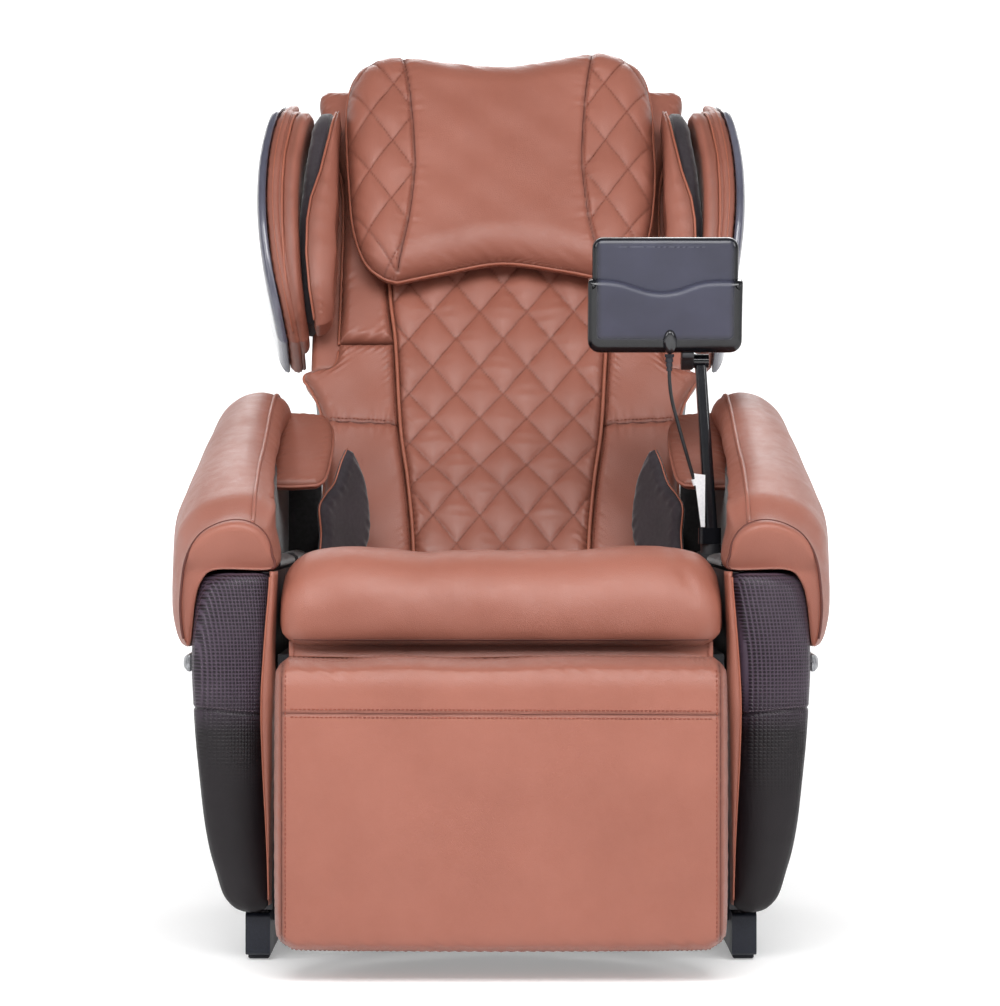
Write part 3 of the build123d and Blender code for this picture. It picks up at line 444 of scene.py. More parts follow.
class Nodes:
    """A short way to write a node tree."""

    def __init__(self, name):
        self.material = bpy.data.materials.new(name)
        self.material.use_nodes = True
        self.tree = self.material.node_tree
        self.tree.nodes.clear()
        out = self.tree.nodes.new("ShaderNodeOutputMaterial")
        self.shader = self.tree.nodes.new("ShaderNodeBsdfPrincipled")
        self.tree.links.new(self.shader.outputs[0], out.inputs[0])
        self.coords = self.tree.nodes.new("ShaderNodeTexCoord").outputs["Object"]

    def add(self, kind, inputs=None, **settings):
        node = self.tree.nodes.new("ShaderNode" + kind)
        for key, value in settings.items():
            setattr(node, key, value)
        for key, value in (inputs or {}).items():
            self.put(node.inputs[key], value)
        return node

    def put(self, socket, value):
        if isinstance(value, bpy.types.NodeSocket):
            self.tree.links.new(value, socket)
        else:
            socket.default_value = value

    def noise(self, scale, detail=3.0, rough=0.55):
        inputs = {"Vector": self.coords, "Scale": scale, "Detail": detail, "Roughness": rough}
        return self.add("TexNoise", inputs).outputs["Fac"]

    def ramp(self, value, low, high, to_low=0.0, to_high=1.0):
        inputs = {"Value": value, "From Min": low, "From Max": high, "To Min": to_low, "To Max": to_high}
        return self.add("MapRange", inputs).outputs["Result"]

    def patches(self, scale, low=0.0, high=1.0, detail=3.0, rough=0.55):
        """Soft patches between a low and a high value."""
        return self.ramp(self.noise(scale, detail, rough), 0.3, 0.7, low, high)

    def xyz(self):
        return self.add("SeparateXYZ", {"Vector": self.coords}).outputs[:3]

    def cells(self, scale):
        """Distance to the edges of the small cells of a leather's grain."""
        inputs = {"Vector": self.coords, "Scale": scale}
        return self.add("TexVoronoi", inputs, feature="DISTANCE_TO_EDGE").outputs["Distance"]

    def stretched(self, share, scale, **more):
        """Noise drawn out along y."""
        vector = self.add("Mapping", {"Vector": self.coords, "Scale": (1.0, share, 1.0)}).outputs["Vector"]
        return self.add("TexNoise", {"Vector": vector, "Scale": scale, **more}).outputs["Fac"]

    def painted_shade(self, share):
        """The shade painted into the piece's point attribute, by the share that it shows."""
        return self.math("MULTIPLY", self.add("Attribute", attribute_name="painted_shade").outputs["Fac"], share)

    def mix(self, factor, a, b):
        node = self.add("Mix", data_type="RGBA")
        self.put(node.inputs["Factor"], factor)
        self.put(node.inputs["A"], a)
        self.put(node.inputs["B"], b)
        return node.outputs["Result"]

    def math(self, operation, a, b=0.0):
        node = self.add("Math", operation=operation)
        self.put(node.inputs[0], a)
        self.put(node.inputs[1], b)
        return node.outputs[0]

    def bump(self, height, distance, strength=1.0, below=None):
        node = self.add("Bump", {"Height": height, "Distance": distance, "Strength": strength})
        if below is not None:
            self.put(node.inputs["Normal"], below)
        return node.outputs["Normal"]

    def finish(self, **sockets):
        for key, value in sockets.items():
            self.put(self.shader.inputs[key.replace("_", " ")], value)
        return self.material


def leather(name, colour, dark, light, rough=0.41):
    """Grained leather: pebbled cells, pores, uneven dye and lighter rubbed patches, with painted shade darkening its
    seams, creases and pad edges.
    """
    n = Nodes(name)
    colour, dark, light = srgb(*colour), srgb(*dark), srgb(*light)
    grain = 0.00022
    cells = n.cells(620.0)
    base = n.mix(n.ramp(n.noise(7.0, 4.0, 0.5), 0.32, 0.68), dark, light)
    base = n.mix(0.62, base, colour)
    base = n.mix(n.ramp(n.noise(42.0, 3.0, 0.6), 0.35, 0.75, 0.0, 0.16), base, light)
    base = n.mix(n.ramp(cells, 0.0, 0.06, 0.10, 0.0), base, dark)
    # painted shade: darker in seams, creases and along pad edges, from the piece's point attribute
    base = n.mix(n.painted_shade(0.85), base, tuple(c * 0.42 for c in dark[:3]) + (1.0,))
    normal = n.bump(n.ramp(cells, 0.0, 0.35), grain, 0.55)
    normal = n.bump(n.noise(1500.0, 4.0, 0.6), grain * 0.5, 0.35, normal)
    normal = n.bump(n.noise(150.0), 0.0006, 0.18, normal)
    return n.finish(Base_Color=base, Roughness=n.patches(60.0, rough - 0.05, rough + 0.07), Normal=normal,
                    Specular_IOR_Level=0.42, Coat_Weight=0.0, Coat_Roughness=0.35)


def embossed_leather():
    """Dark panel leather with a pressed grid of small square dimples, strong above the seam. Above the seam its colour
    is lighter as a painted highlight, and the dimples are darkened as painted shade.
    """
    n = Nodes("embossed_leather")
    x, y, z = n.xyz()
    pitch = 0.0041
    span = math.pi / pitch

    def bars(value):
        return n.math("SINE", n.math("MULTIPLY", value, span))

    cross = n.math("MULTIPLY", bars(n.math("ADD", x, y)), bars(z))
    dimple = n.ramp(n.math("ABSOLUTE", cross), 0.18, 0.75)
    uneven = n.ramp(n.noise(9.0, 2.0), 0.2, 0.5, 0.7, 1.0)
    height = n.math("MULTIPLY", dimple, n.math("MULTIPLY", n.ramp(z, 0.19, 0.33), uneven))
    base = n.mix(n.patches(8.0), srgb(13, 6, 11), srgb(18, 10, 16))
    # painted highlight: the colour above the seam is lighter, standing in for the gloss on the upper panel
    base = n.mix(n.ramp(z, 0.262, 0.31), base, srgb(68, 56, 69))
    # painted shade: the dimples are darkened
    base = n.mix(n.math("MULTIPLY", height, 0.92), base, srgb(12, 6, 11))
    # painted shade along the seam, from the piece's point attribute
    base = n.mix(n.painted_shade(0.6), base, srgb(16, 9, 14))
    normal = n.bump(height, 0.0010, 1.0)
    normal = n.bump(n.ramp(n.cells(700.0), 0.0, 0.3), 0.00015, 0.4, normal)
    rough = n.mix(n.ramp(z, 0.24, 0.3), n.patches(40.0, 0.5, 0.58), n.patches(40.0, 0.33, 0.4))
    return n.finish(Base_Color=base, Roughness=rough, Normal=normal, Specular_IOR_Level=0.36)


def woven(name, colour, light):
    """Fine dark stretch fabric with a visible weave and a soft sheen."""
    n = Nodes(name)
    colour, light = srgb(*colour), srgb(*light)
    _, y, z = n.xyz()
    pitch = 0.0016
    span = 2 * math.pi / pitch
    warp = n.math("SINE", n.math("MULTIPLY", n.math("ADD", y, z), span))
    weft = n.math("SINE", n.math("MULTIPLY", n.math("SUBTRACT", z, y), span))
    weave = n.ramp(n.math("MULTIPLY", warp, weft), -0.8, 0.8)
    base = n.mix(n.patches(14.0), colour, light)
    base = n.mix(n.math("MULTIPLY", weave, 0.25), base, light)
    # painted shade from the piece's point attribute, darkening seams and edges
    base = n.mix(n.painted_shade(0.5), base, (0.006, 0.005, 0.006, 1))
    return n.finish(Base_Color=base, Roughness=n.patches(200.0, 0.72, 0.88), Normal=n.bump(weave, 0.0002, 0.5),
                    Sheen_Weight=0.35, Sheen_Roughness=0.4)


def moulded(name, colour, light, rough=0.42, texture=0.0002, scale=900.0, coat=0.0):
    """Moulded plastic or rubber with a fine spark-eroded texture and slight colour drift."""
    n = Nodes(name)
    colour, light = srgb(*colour), srgb(*light)
    base = n.mix(n.patches(11.0), colour, light)
    base = n.mix(n.ramp(n.noise(240.0), 0.62, 0.78, 0.0, 0.12), base, light)
    return n.finish(Base_Color=base, Roughness=n.patches(35.0, rough - 0.05, rough + 0.06),
                    Normal=n.bump(n.noise(scale), texture, 0.45), Coat_Weight=coat, Coat_Roughness=0.12)


def metal(name, colour, light, rough, metallic=1.0, brushed=False):
    """Steel: brushed along its length, or powder coated where metallic is low."""
    n = Nodes(name)
    fine = n.stretched(0.06, 900.0, Detail=4.0) if brushed else n.noise(700.0)
    base = n.mix(n.ramp(fine, 0.3, 0.7), srgb(*colour), srgb(*light))
    scratches = n.ramp(n.noise(18.0, 6.0, 0.7), 0.3, 0.75, rough - 0.06, rough + 0.12)
    return n.finish(Base_Color=base, Roughness=scratches, Normal=n.bump(fine, 0.00012, 0.35), Metallic=metallic)


def plywood():
    """Birch plywood: long grain with darker pores."""
    n = Nodes("plywood")
    grain = n.stretched(0.08, 120.0, Detail=6.0, Distortion=1.2)
    base = n.mix(n.ramp(grain, 0.35, 0.65), srgb(150, 112, 72), srgb(198, 164, 118))
    return n.finish(Base_Color=base, Roughness=n.ramp(grain, 0.3, 0.7, 0.5, 0.7), Normal=n.bump(grain, 0.0003, 0.4))


def paper():
    """White printed-label film, left blank."""
    n = Nodes("label_film")
    fibre = n.noise(400.0, 4.0)
    base = n.mix(n.ramp(fibre, 0.3, 0.7), srgb(226, 227, 230), srgb(242, 242, 243))
    return n.finish(Base_Color=base, Roughness=n.ramp(fibre, 0.3, 0.7, 0.42, 0.55), Normal=n.bump(fibre, 0.0001, 0.3))


def tablet_plastic():
    """Satin plastic on the flat of the tablet's back, polished round its rim, where a darker colour is a painted dark
    reflection.
    """
    n = Nodes("tablet_plastic")
    x, _, z = n.xyz()
    across = n.ramp(n.math("ABSOLUTE", n.math("SUBTRACT", x, 0.204)), 0.079, 0.087, 1.0, 0.0)
    upright = n.math("MULTIPLY", n.ramp(z, 0.720, 0.728), n.ramp(z, 0.846, 0.838))
    flat = n.math("MULTIPLY", upright, across)
    base = n.mix(n.patches(14.0), srgb(48, 49, 64), srgb(58, 59, 76))
    # painted dark reflection: the rim's colour is much darker than the flat
    base = n.mix(flat, srgb(12, 13, 17), base)
    rough = n.math("ADD", n.math("MULTIPLY", flat, 0.26), n.patches(50.0, 0.14, 0.2))
    height = n.math("MULTIPLY", n.noise(1500.0), flat)
    return n.finish(Base_Color=base, Roughness=rough, Normal=n.bump(height, 0.0002, 0.5))


def glass_screen():
    """A dark display under a glossy front with faint smudges."""
    n = Nodes("screen")
    smudge = n.ramp(n.noise(26.0, 5.0, 0.6), 0.4, 0.8, 0.05, 0.16)
    base = n.mix(n.patches(9.0), srgb(9, 10, 13), srgb(18, 19, 24))
    return n.finish(Base_Color=base, Roughness=smudge, Specular_IOR_Level=0.6, Coat_Weight=0.6, Coat_Roughness=0.05)


tan_leather = leather("tan_leather", (142, 86, 71), (129, 75, 60), (155, 98, 83))
piping_leather = leather("piping_leather", (146, 84, 64), (128, 68, 52), (164, 100, 80), rough=0.42)
panel_leather = embossed_leather()
dark_fabric = woven("dark_fabric", (28, 20, 26), (46, 37, 44))
black_fabric = woven("black_fabric", (9, 8, 10), (17, 14, 18))
black_plastic = moulded("black_plastic", (28, 28, 31), (40, 40, 44), rough=0.46)
gloss_black = moulded("gloss_black", (16, 17, 21), (24, 25, 30), rough=0.16, texture=0.00003, coat=0.5)
cord_rubber = moulded("cord_rubber", (20, 20, 23), (30, 30, 34), rough=0.4, texture=0.0001)
thread = moulded("thread", (112, 50, 34), (140, 70, 50), rough=0.6, scale=2500.0)
seam_shadow = moulded("seam_shadow", (74, 30, 22), (92, 42, 32), rough=0.7, scale=2500.0)
dark_thread = moulded("dark_thread", (64, 50, 58), (92, 78, 88), rough=0.6, scale=2500.0)
shell_plastic = moulded("shell_plastic", (72, 72, 86), (92, 92, 106), rough=0.2, texture=0.00006, coat=0.6)
foot_coat = metal("foot_coat", (20, 23, 33), (30, 33, 45), rough=0.42, metallic=0.25)
silver = metal("silver", (132, 133, 137), (168, 169, 172), rough=0.3, metallic=0.85)
screen = glass_screen()
tablet_satin = tablet_plastic()

SLOT_FINISH = {
    "tan_leather": tan_leather, "dark_leather": panel_leather, "dark_fabric": dark_fabric,
    "black_plastic": black_plastic, "gloss_black": gloss_black, "cord_rubber": cord_rubber,
    "screen": screen, "silver": silver, "wood_board": plywood(), "label_white": paper(),
    "grey_shell": moulded("tablet_shell", (52, 53, 62), (66, 67, 78), rough=0.36, texture=0.00025, scale=1400.0),
    "rubber": moulded("rubber", (24, 26, 34), (38, 40, 50), rough=0.62, texture=0.0003, scale=500.0),
    "valve_plastic": moulded("valve_plastic", (188, 188, 182), (206, 206, 200), rough=0.5),
    "roller": moulded("roller_plastic", (92, 68, 54), (116, 88, 70), rough=0.32),
    "switch_red": moulded("switch_red", (122, 22, 18), (150, 34, 26), rough=0.28, coat=0.2),
    "black_steel": metal("black_steel", (30, 31, 34), (42, 43, 47), rough=0.45, metallic=0.3),
    "bright_steel": metal("bright_steel", (150, 151, 156), (186, 187, 190), rough=0.28, brushed=True),
    "motor": metal("motor_paint", (66, 68, 74), (86, 88, 94), rough=0.5, metallic=0.35),
}
for part in frame["record"]["subparts"]:
    node = NODES[part["node"]]
    for index in range(len(node.material_slots)):
        node.material_slots[index].material = SLOT_FINISH[part["material_slot"]]
    if not node.material_slots:
        node.data.materials.append(SLOT_FINISH[part["material_slot"]])
for name in ("base_rails", "base_crossmembers"):
    NODES[name].material_slots[0].material = foot_coat


# ------------------------------------------------------------------ camera, floor and light
camera = linked("camera", bpy.data.cameras.new("camera"))
camera.location = (0, -4.0, 0.519)
camera.rotation_euler = (math.radians(90), 0, 0)
camera.data.lens = 111.9
camera.data.shift_x = -0.001
camera.data.clip_end = 60
bpy.context.scene.camera = camera
bpy.context.scene.view_settings.view_transform = "Standard"

def studio():
    """A white floor that curves up behind, a white world and large soft lights."""
    verts, faces = [], []
    profile = [(-30, 0), (9, 0)]
    profile += [(9 + 3 * math.sin(a), 3 - 3 * math.cos(a)) for a in np.linspace(0.1, math.pi / 2, 14)]
    profile += [(12, 18)]
    for y, z in profile:
        verts += [(-30, y, z - 0.0005), (30, y, z - 0.0005)]
    for k in range(len(profile) - 1):
        faces.append((2 * k, 2 * k + 1, 2 * k + 3, 2 * k + 2))
    n = Nodes("studio_white")
    depth = n.add("SeparateXYZ", {"Vector": n.coords}).outputs[1]
    n.finish(Base_Color=(0.8, 0.8, 0.8, 1), Roughness=0.9, Emission_Color=(1, 1, 1, 1),
             Emission_Strength=n.ramp(depth, 1.5, 9, 0.3, 0.86))
    piece("studio_floor", verts, faces, n.material, None)
    world = bpy.data.worlds.new("studio")
    world.use_nodes = True
    background = world.node_tree.nodes["Background"].inputs
    background["Color"].default_value = (1.0, 1.0, 1.0, 1)
    background["Strength"].default_value = 0.24
    bpy.context.scene.world = world
    for name, place, turn, size, power in (
        ("top", (0, -2.7, 2.4), (49, 0, 0), (2.8, 1.5), 116),
        ("left", (-2.6, -1.9, 1.7), (74, 0, -54), (0.9, 1.8), 26),
        ("right", (2.6, -1.9, 1.7), (74, 0, 54), (0.9, 1.8), 26),
        ("rear", (0, 3.0, 2.8), (-50, 0, 0), (2.4, 1.4), 40),
    ):
        lamp = linked(name, bpy.data.lights.new(name, "AREA"))
        lamp.location = place
        lamp.rotation_euler = [math.radians(a) for a in turn]
        lamp.data.shape = "RECTANGLE"
        lamp.data.size, lamp.data.size_y = size
        lamp.data.energy = power


studio()

# ------------------------------------------------------------------ the tablet's cord and its tag
CORD_POINTS = [
    (0.2100, -0.0970, 0.684), (0.2100, -0.0970, 0.658), (0.2229, -0.0954, 0.611), (0.2358, -0.0939, 0.566),
    (0.2467, -0.0926, 0.530), (0.2515, -0.0920, 0.506), (0.2515, -0.0920, 0.488),
]
line = bpy.data.curves.new("tablet_cord", "CURVE")
line.dimensions = "3D"
spline = line.splines.new("NURBS")
spline.points.add(len(CORD_POINTS) - 1)
for point, place in zip(spline.points, CORD_POINTS):
    point.co = (*place, 1)
spline.order_u = 3
spline.use_endpoint_u = True
spline.resolution_u = 16
line.bevel_depth = 0.00225
line.bevel_resolution = 5
line.use_fill_caps = True
line.materials.append(cord_rubber)
cord = linked("tablet_cord", line, "tablet_stalk")
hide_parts("control_cord")


# ------------------------------------------------------------------ back: quilted centre
def diamonds(a, b, unit, high):
    """Rise of sewn diamonds between two families of crease lines, at the whole numbers of a and b, and the shade
    painted along the creases.
    """
    sa, sb = np.abs(np.sin(np.pi * a)), np.abs(np.sin(np.pi * b))
    gap = np.minimum(np.arcsin(np.clip(sa, 0, 1)), np.arcsin(np.clip(sb, 0, 1))) / np.pi * unit
    return (sa * sb) ** 0.42 * high, 0.55 * np.exp(-((gap / 1.5) ** 2))


# Heights at which creases cross at the middle of the back, and the right edge of the quilted centre.
QUILT_U = [2, 90, 174, 242, 318, 405, 492, 580, 668, 756, 844, 932]
CENTRE_EDGE = [(113, 40), (116, 110), (124, 190), (134, 265), (143, 400), (152, 480), (154, 600), (154, 830)]
CENTRE_X, DIAMOND_SIDE = 3, 52


def creases(u):
    """The number of crossings below a height, and the width of a diamond there."""
    return np.interp(u, QUILT_U, range(-5, 7)), np.interp(u, [90, 400], [62, 64.7])


def centre_quilt(x, u):
    k, wide = creases(u)
    rise, dark = diamonds((x - CENTRE_X) / wide + k, (x - CENTRE_X) / wide - k, DIAMOND_SIDE, 7.5)
    folds = 0.45 * np.sin(u / 3.1 + 1.2 * np.sin(x / 31)) * np.clip(swell(x, u, 5, 70), 0, 1)
    return rise + folds, dark


def back_top(x, u):
    """The padding rolls back towards its top edge."""
    near = np.clip((u - 770) / 60, 0, 1)
    return -14 * (1 - np.sqrt(1 - near**2))


def x_at(u, line, count=80):
    """The x of a line of (x, u) points at a height."""
    points = curve(line)(np.linspace(0, 1, count))
    order = np.argsort(points[:, 1])
    return np.interp(u, points[order, 1], points[order, 0])


centre = Pad("back_centre",
             ([(-113, 40), (113, 40)], CENTRE_EDGE, [(-154, 830), (154, 830)], [(-x, u) for x, u in CENTRE_EDGE]),
             46, (9, 10), (21, 8), on_back, "backrest", (128, 300), "back_centre_pad", quilt=centre_quilt, seed=11,
             waviness=0.9, shape=back_top)
rows = []
u = np.linspace(44, 822, 900)
k, wide = creases(u)
half = x_at(u, CENTRE_EDGE, 200)
for sign in (-1, 1):
    for number in range(-9, 10):
        x = CENTRE_X + wide * (number + sign * k)
        points = np.stack([x, u], -1)[np.abs(x) < half - 5]
        if len(points) > 6:
            rows.append(centre.lay(points, 5.6))
stitches("back_centre_stitches", rows, "backrest", 3.9, 0.5)

# ------------------------------------------------------------------ back: side pads
LOW_OUTER = [(236, 40), (237, 150), (238, 250), (245, 300), (261, 336), (268, 346), (267, 356), (252, 361),
             (232, 366), (224, 380), (222, 402)]
HIGH_OUTER = [(222, 404), (221, 500), (222, 640), (236, 720), (254, 770), (260, 812), (248, 828)]
INNER_LOW = [(x + 2.5, u) for x, u in CENTRE_EDGE if u < 400] + [(145.7, 402)]
INNER_HIGH = [(145.7, 404)] + [(x + 2.5, u) for x, u in CENTRE_EDGE if u > 420]
low_pad = Pad(
    "back_side_low_right", ([(115.5, 40), (236, 40)], LOW_OUTER, [(145.7, 402), (222, 402)], INNER_LOW),
    38, (19, 14), (36, 12), on_back, "backrest", (56, 120), "back_side_pad_right", seed=21, waviness=1.3,
    seams=[{"line": [(120, 272), (243, 279)], "depth": 4.0, "width": 3.0, "valley": 2.5, "pucker": 0.9, "beat": 19}],
    shape=lambda x, u: -6 * np.clip((x - 150) / 90, 0, 1) ** 2 * np.clip((300 - u) / 120, 0, 1))
high_pad = Pad(
    "back_side_high_right", ([(145.7, 404), (222, 404)], HIGH_OUTER, [(156.5, 830), (248, 828)], INNER_HIGH),
    36, (20, 14), (34, 14), on_back, "backrest", (44, 120), seed=22, waviness=1.4, shape=back_top)
Pad("back_side_root_right",
    ([(205, 362), (261, 362)], [(261, 362), (262, 760)], [(205, 760), (262, 760)], [(205, 362), (205, 760)]),
    20, (17, 10), (18, 10), on_back, "backrest", (20, 60), seed=23)

rows = []
edge_line = curve(CENTRE_EDGE)(np.linspace(0.01, 0.99, 160))
for pad, low, high in ((low_pad, 46, 398), (high_pad, 408, 822)):
    part = edge_line[(edge_line[:, 1] > low) & (edge_line[:, 1] < high)]
    rows.append(pad.lay(part + [8.5, 0], 5.2))
rows.append(low_pad.lay([(124, 276.5), (238, 283)], 5.2))
stitches("back_side_stitches_right", rows, "backrest", 3.8, 0.55)
for name, line, beside, v, radius in (
    ("back_centre_piping_right", edge_line, 1.4, 57.5, 2.5),
    ("back_edge_piping_right", curve(LOW_OUTER)(np.linspace(0.02, 0.98, 120)), 0.5, 41, 2.2),
    ("back_upper_piping_right", curve(HIGH_OUTER[:5])(np.linspace(0, 1, 80)), 0.5, 42, 2.2),
):
    piping(name, on_back(line[:, 0] + beside, line[:, 1], v), radius, "backrest")
# Dark tube of painted shadow along the seam across the lower side pad.
seam_shadow_line("back_side_seams_right", [low_pad.lay([(124, 272.3), (241, 279)], 6)], "backrest", 0.9)

# ------------------------------------------------------------------ head pillow
PILLOW_BOTTOM = [(-142, 472), (-80, 487), (0, 503), (80, 492), (142, 478)]
PILLOW_RIGHT = [(142, 478), (166, 486), (190, 510), (206, 560), (214, 640), (213, 710), (212, 760), (200, 815),
                (172, 842)]
PILLOW_LEFT = [(-142, 472), (-163, 480), (-187, 505), (-204, 560), (-212, 640), (-216, 700), (-217, 765),
               (-206, 812), (-178, 838)]
PILLOW_TOP = [(-178, 838), (-137, 843), (-60, 833), (0, 828), (60, 836), (129, 851), (172, 842)]
# Each quilted end: its side, the seam that bounds it, and the x of its diamonds' middle.
LOBES = [
    (-1, [(-139, 840), (-127, 760), (-119, 650), (-126, 560), (-141, 482)], -182),
    (1, [(130, 848), (118, 760), (112, 650), (120, 560), (135, 486)], 176),
]
LOBE_U, LOBE_WIDE, LOBE_HIGH = 636, 62, 96


def pillow_quilt(x, u):
    rise, dark = 0, 0
    for side, line, middle in LOBES:
        beyond = np.clip(side * (x - x_at(u, line)) / 5, 0, 1)
        a, b = (x - middle) / LOBE_WIDE, (u - LOBE_U) / LOBE_HIGH
        puff, shade = diamonds(a + b, a - b, DIAMOND_SIDE, 5.5)
        rise = rise + beyond * (puff - 2)
        dark = dark + beyond * shade
    return rise, dark


pillow = Pad(
    "head_pillow_cover", (PILLOW_BOTTOM, PILLOW_RIGHT, PILLOW_TOP, PILLOW_LEFT), 92, (38, 50), (26, 36), on_back,
    "pillow", (150, 130), "head_pillow", quilt=pillow_quilt, seed=31, waviness=1.0,
    seams=[{"line": line, "depth": 3.5, "width": 3.0, "valley": 2.0, "pucker": 0.5} for _, line, _ in LOBES])
ring = resample(np.vstack([pillow.ring, pillow.ring[:1]]), 7)[:-1]
piping("head_pillow_piping", on_back(ring[:, 0], ring[:, 1], 94), 2.4, "pillow", closed=True)
rows = []
u = np.linspace(480, 842, 700)
reach = np.interp(u, [480, 540, 640, 790, 840], [150, 190, 205, 203, 165])
for side, line, middle in LOBES:
    rows.append(pillow.lay(curve(line)(np.linspace(0.03, 0.97, 60)) + [side * 4.5, 0], 5.2))
    for sign in (-1, 1):
        for number in range(-8, 9):
            x = middle + LOBE_WIDE * (number + sign * (u - LOBE_U) / LOBE_HIGH)
            inside = (side * (x - x_at(u, line)) > 5) & (side * x < reach)
            if inside.sum() > 8:
                rows.append(pillow.lay(np.stack([x, u], -1)[inside], 5.6))
stitches("head_pillow_stitches", rows, "pillow", 3.9, 0.5)
# Dark tubes of painted shadow along the seams of the pillow's quilted ends.
seam_shadow_line("head_pillow_seam_shadows", [pillow.lay(curve(line)(np.linspace(0.01, 0.99, 80)), 6) for _, line, _ in LOBES],
          "pillow", 0.7)


# ------------------------------------------------------------------ shoulder wings
WING_MIDDLE = 590


def bowed(shift):
    """A wing layer's place: it bows outwards in the middle of its height, and draws in more below it."""
    def place(v, u, c):
        bow = 23 * np.where(np.asarray(u) < WING_MIDDLE, 1.3, 1.0)
        return on_side(v, u, c + shift - bow * ((np.asarray(u) - WING_MIDDLE) / 190.0) ** 2)
    return place


def guided(us, cs, mid):
    """A wing layer's place: its lateral position follows the given ones up the wing."""
    def place(v, u, c):
        return on_side(v, u, c - mid + np.interp(u, us, cs))
    return place


FLAP_PLACE = guided([402, 440, 490, 540, 575, 620, 680, 745], [250, 257, 262, 262, 258, 246, 236, 228], 249)
CELL_PLACE = guided([420, 500, 560, 620, 680, 754], [262, 265, 263, 258, 250, 243], 262)
ROLL_PLACE = guided([396, 430, 480, 540, 590, 640, 700, 766], [272, 279, 285, 289, 290, 288.5, 282, 270], 288)


def wing_edges(inset, low=0, high=0, rear=-28):
    """A wing layer's outline in v and u. The inset and the cuts at both ends make an inner layer smaller."""
    front = [(60, 396 + low), (112, 430 + low), (150 - inset, 512), (162 - inset, 600), (159 - inset, 655),
             (138 - inset, 722), (95, 766 - high)]
    return ([(rear, 400 + low), (60, 396 + low)], front, [(rear, 768 - high), (95, 766 - high)],
            [(rear, 400 + low), (rear, 768 - high)])


# From the outside in: outer pad, fold, roll, air cell and flap, then the rigid gloss shell round them.
Pad("wing_outer_right", wing_edges(2), 312, (9, 9), (9, 9), bowed(0), "backrest", (56, 90), "wing_pad_right",
    seed=41, flip=True, waviness=1.0)
Pad("wing_fold_right", wing_edges(4, 4, 10), 302, (4, 4), (4, 4), bowed(1), "backrest", (40, 80), seed=42,
    flip=True, waviness=0.8)
Pad("wing_roll_right", wing_edges(3, 2, 18, 20), 288, (12, 13), (12, 13), ROLL_PLACE, "backrest", (60, 100),
    seed=43, flip=True, waviness=1.2)
CELL_FRONT = [(72, 420), (98, 450), (119, 520), (141, 610), (143, 680), (128, 724), (98, 750)]
Pad("wing_cell_right",
    ([(30, 424), (72, 420)], CELL_FRONT, [(30, 745), (60, 754), (98, 750)], [(30, 424), (30, 745)]),
    262, (14, 14), (10, 12), CELL_PLACE, "backrest", (44, 90), "wing_airbag_right", "dark_fabric", dark_fabric,
    seed=44, flip=True, waviness=1.0)


def flap_thickness(v, u):
    return np.interp(u, [400, 430, 500, 580, 620, 680, 745], [16, 28, 38, 32, 20, 9, 3])


FLAP_FRONT = [(96, 402), (134, 450), (146, 540), (147, 630), (138, 700), (112, 745)]
Pad("wing_flap_right", ([(64, 404), (96, 402)], FLAP_FRONT, [(64, 749), (112, 745)], [(64, 404), (64, 749)]),
    249, (2, 6), (flap_thickness, 16), FLAP_PLACE, "backrest", (40, 100), seed=45, flip=True, waviness=0.8)
Pad("wing_rim_right", wing_edges(0), 326, (9, 16), (4, 5), bowed(0), "backrest", (56, 90), "wing_shell_right",
    "silver", shell_plastic, fill=None, seed=46, flip=True, waviness=0.0)
for name, place, line, ends, beside, c, radius in (
    ("wing_flap_piping_right", FLAP_PLACE, FLAP_FRONT, (0.02, 0.98), 0.6, 251.5, 1.7),
    ("wing_roll_piping_right", ROLL_PLACE, wing_edges(3, 2, 18)[1], (0.02, 0.98), -2, 298.0, 1.8),
    ("wing_fold_piping_right", bowed(0), wing_edges(2)[1], (0.04, 0.96), -0.5, 312.5, 1.2),
):
    line = curve(line)(np.linspace(*ends, 90))
    piping(name, place(line[:, 0] + beside, line[:, 1], c), radius, "backrest")


# ------------------------------------------------------------------ leather hinge strip behind the head pillow
def hinge_leaf(name, run, body):
    """One padded leaf of the pillow's leather hinge, along a path given in the back's v and u."""
    run = curve(run)(np.linspace(0, 1, 12))
    ahead = np.gradient(run, axis=0)
    aside = np.stack([-ahead[:, 1], ahead[:, 0]], -1) / np.linalg.norm(ahead, axis=1)[:, None]
    rings = []
    for x in np.concatenate([[-132, -130.5, -128], np.linspace(-120, 120, 40), [128, 130.5, 132]]):
        half = 2.6 * math.sqrt(max(0.05, 1 - max(0.0, (abs(x) - 128) / 4.2) ** 2))
        path = run + [0, 0.8 * math.sin(x / 21)]
        ring = np.vstack([path + aside * half, (path - aside * half)[::-1]])
        rings.append(on_back(np.full(len(ring), x), ring[:, 1], ring[:, 0]))
    declare(loft(name, rings, tan_leather, body), fill=0.9)


hinge_leaf("head_pillow_hinge", [(10, 826), (26, 842), (42, 851), (56, 857)], "backrest")
hinge_leaf("head_pillow_hinge_leaf", [(58, 857), (63, 848), (68, 835), (74, 820)], "pillow")

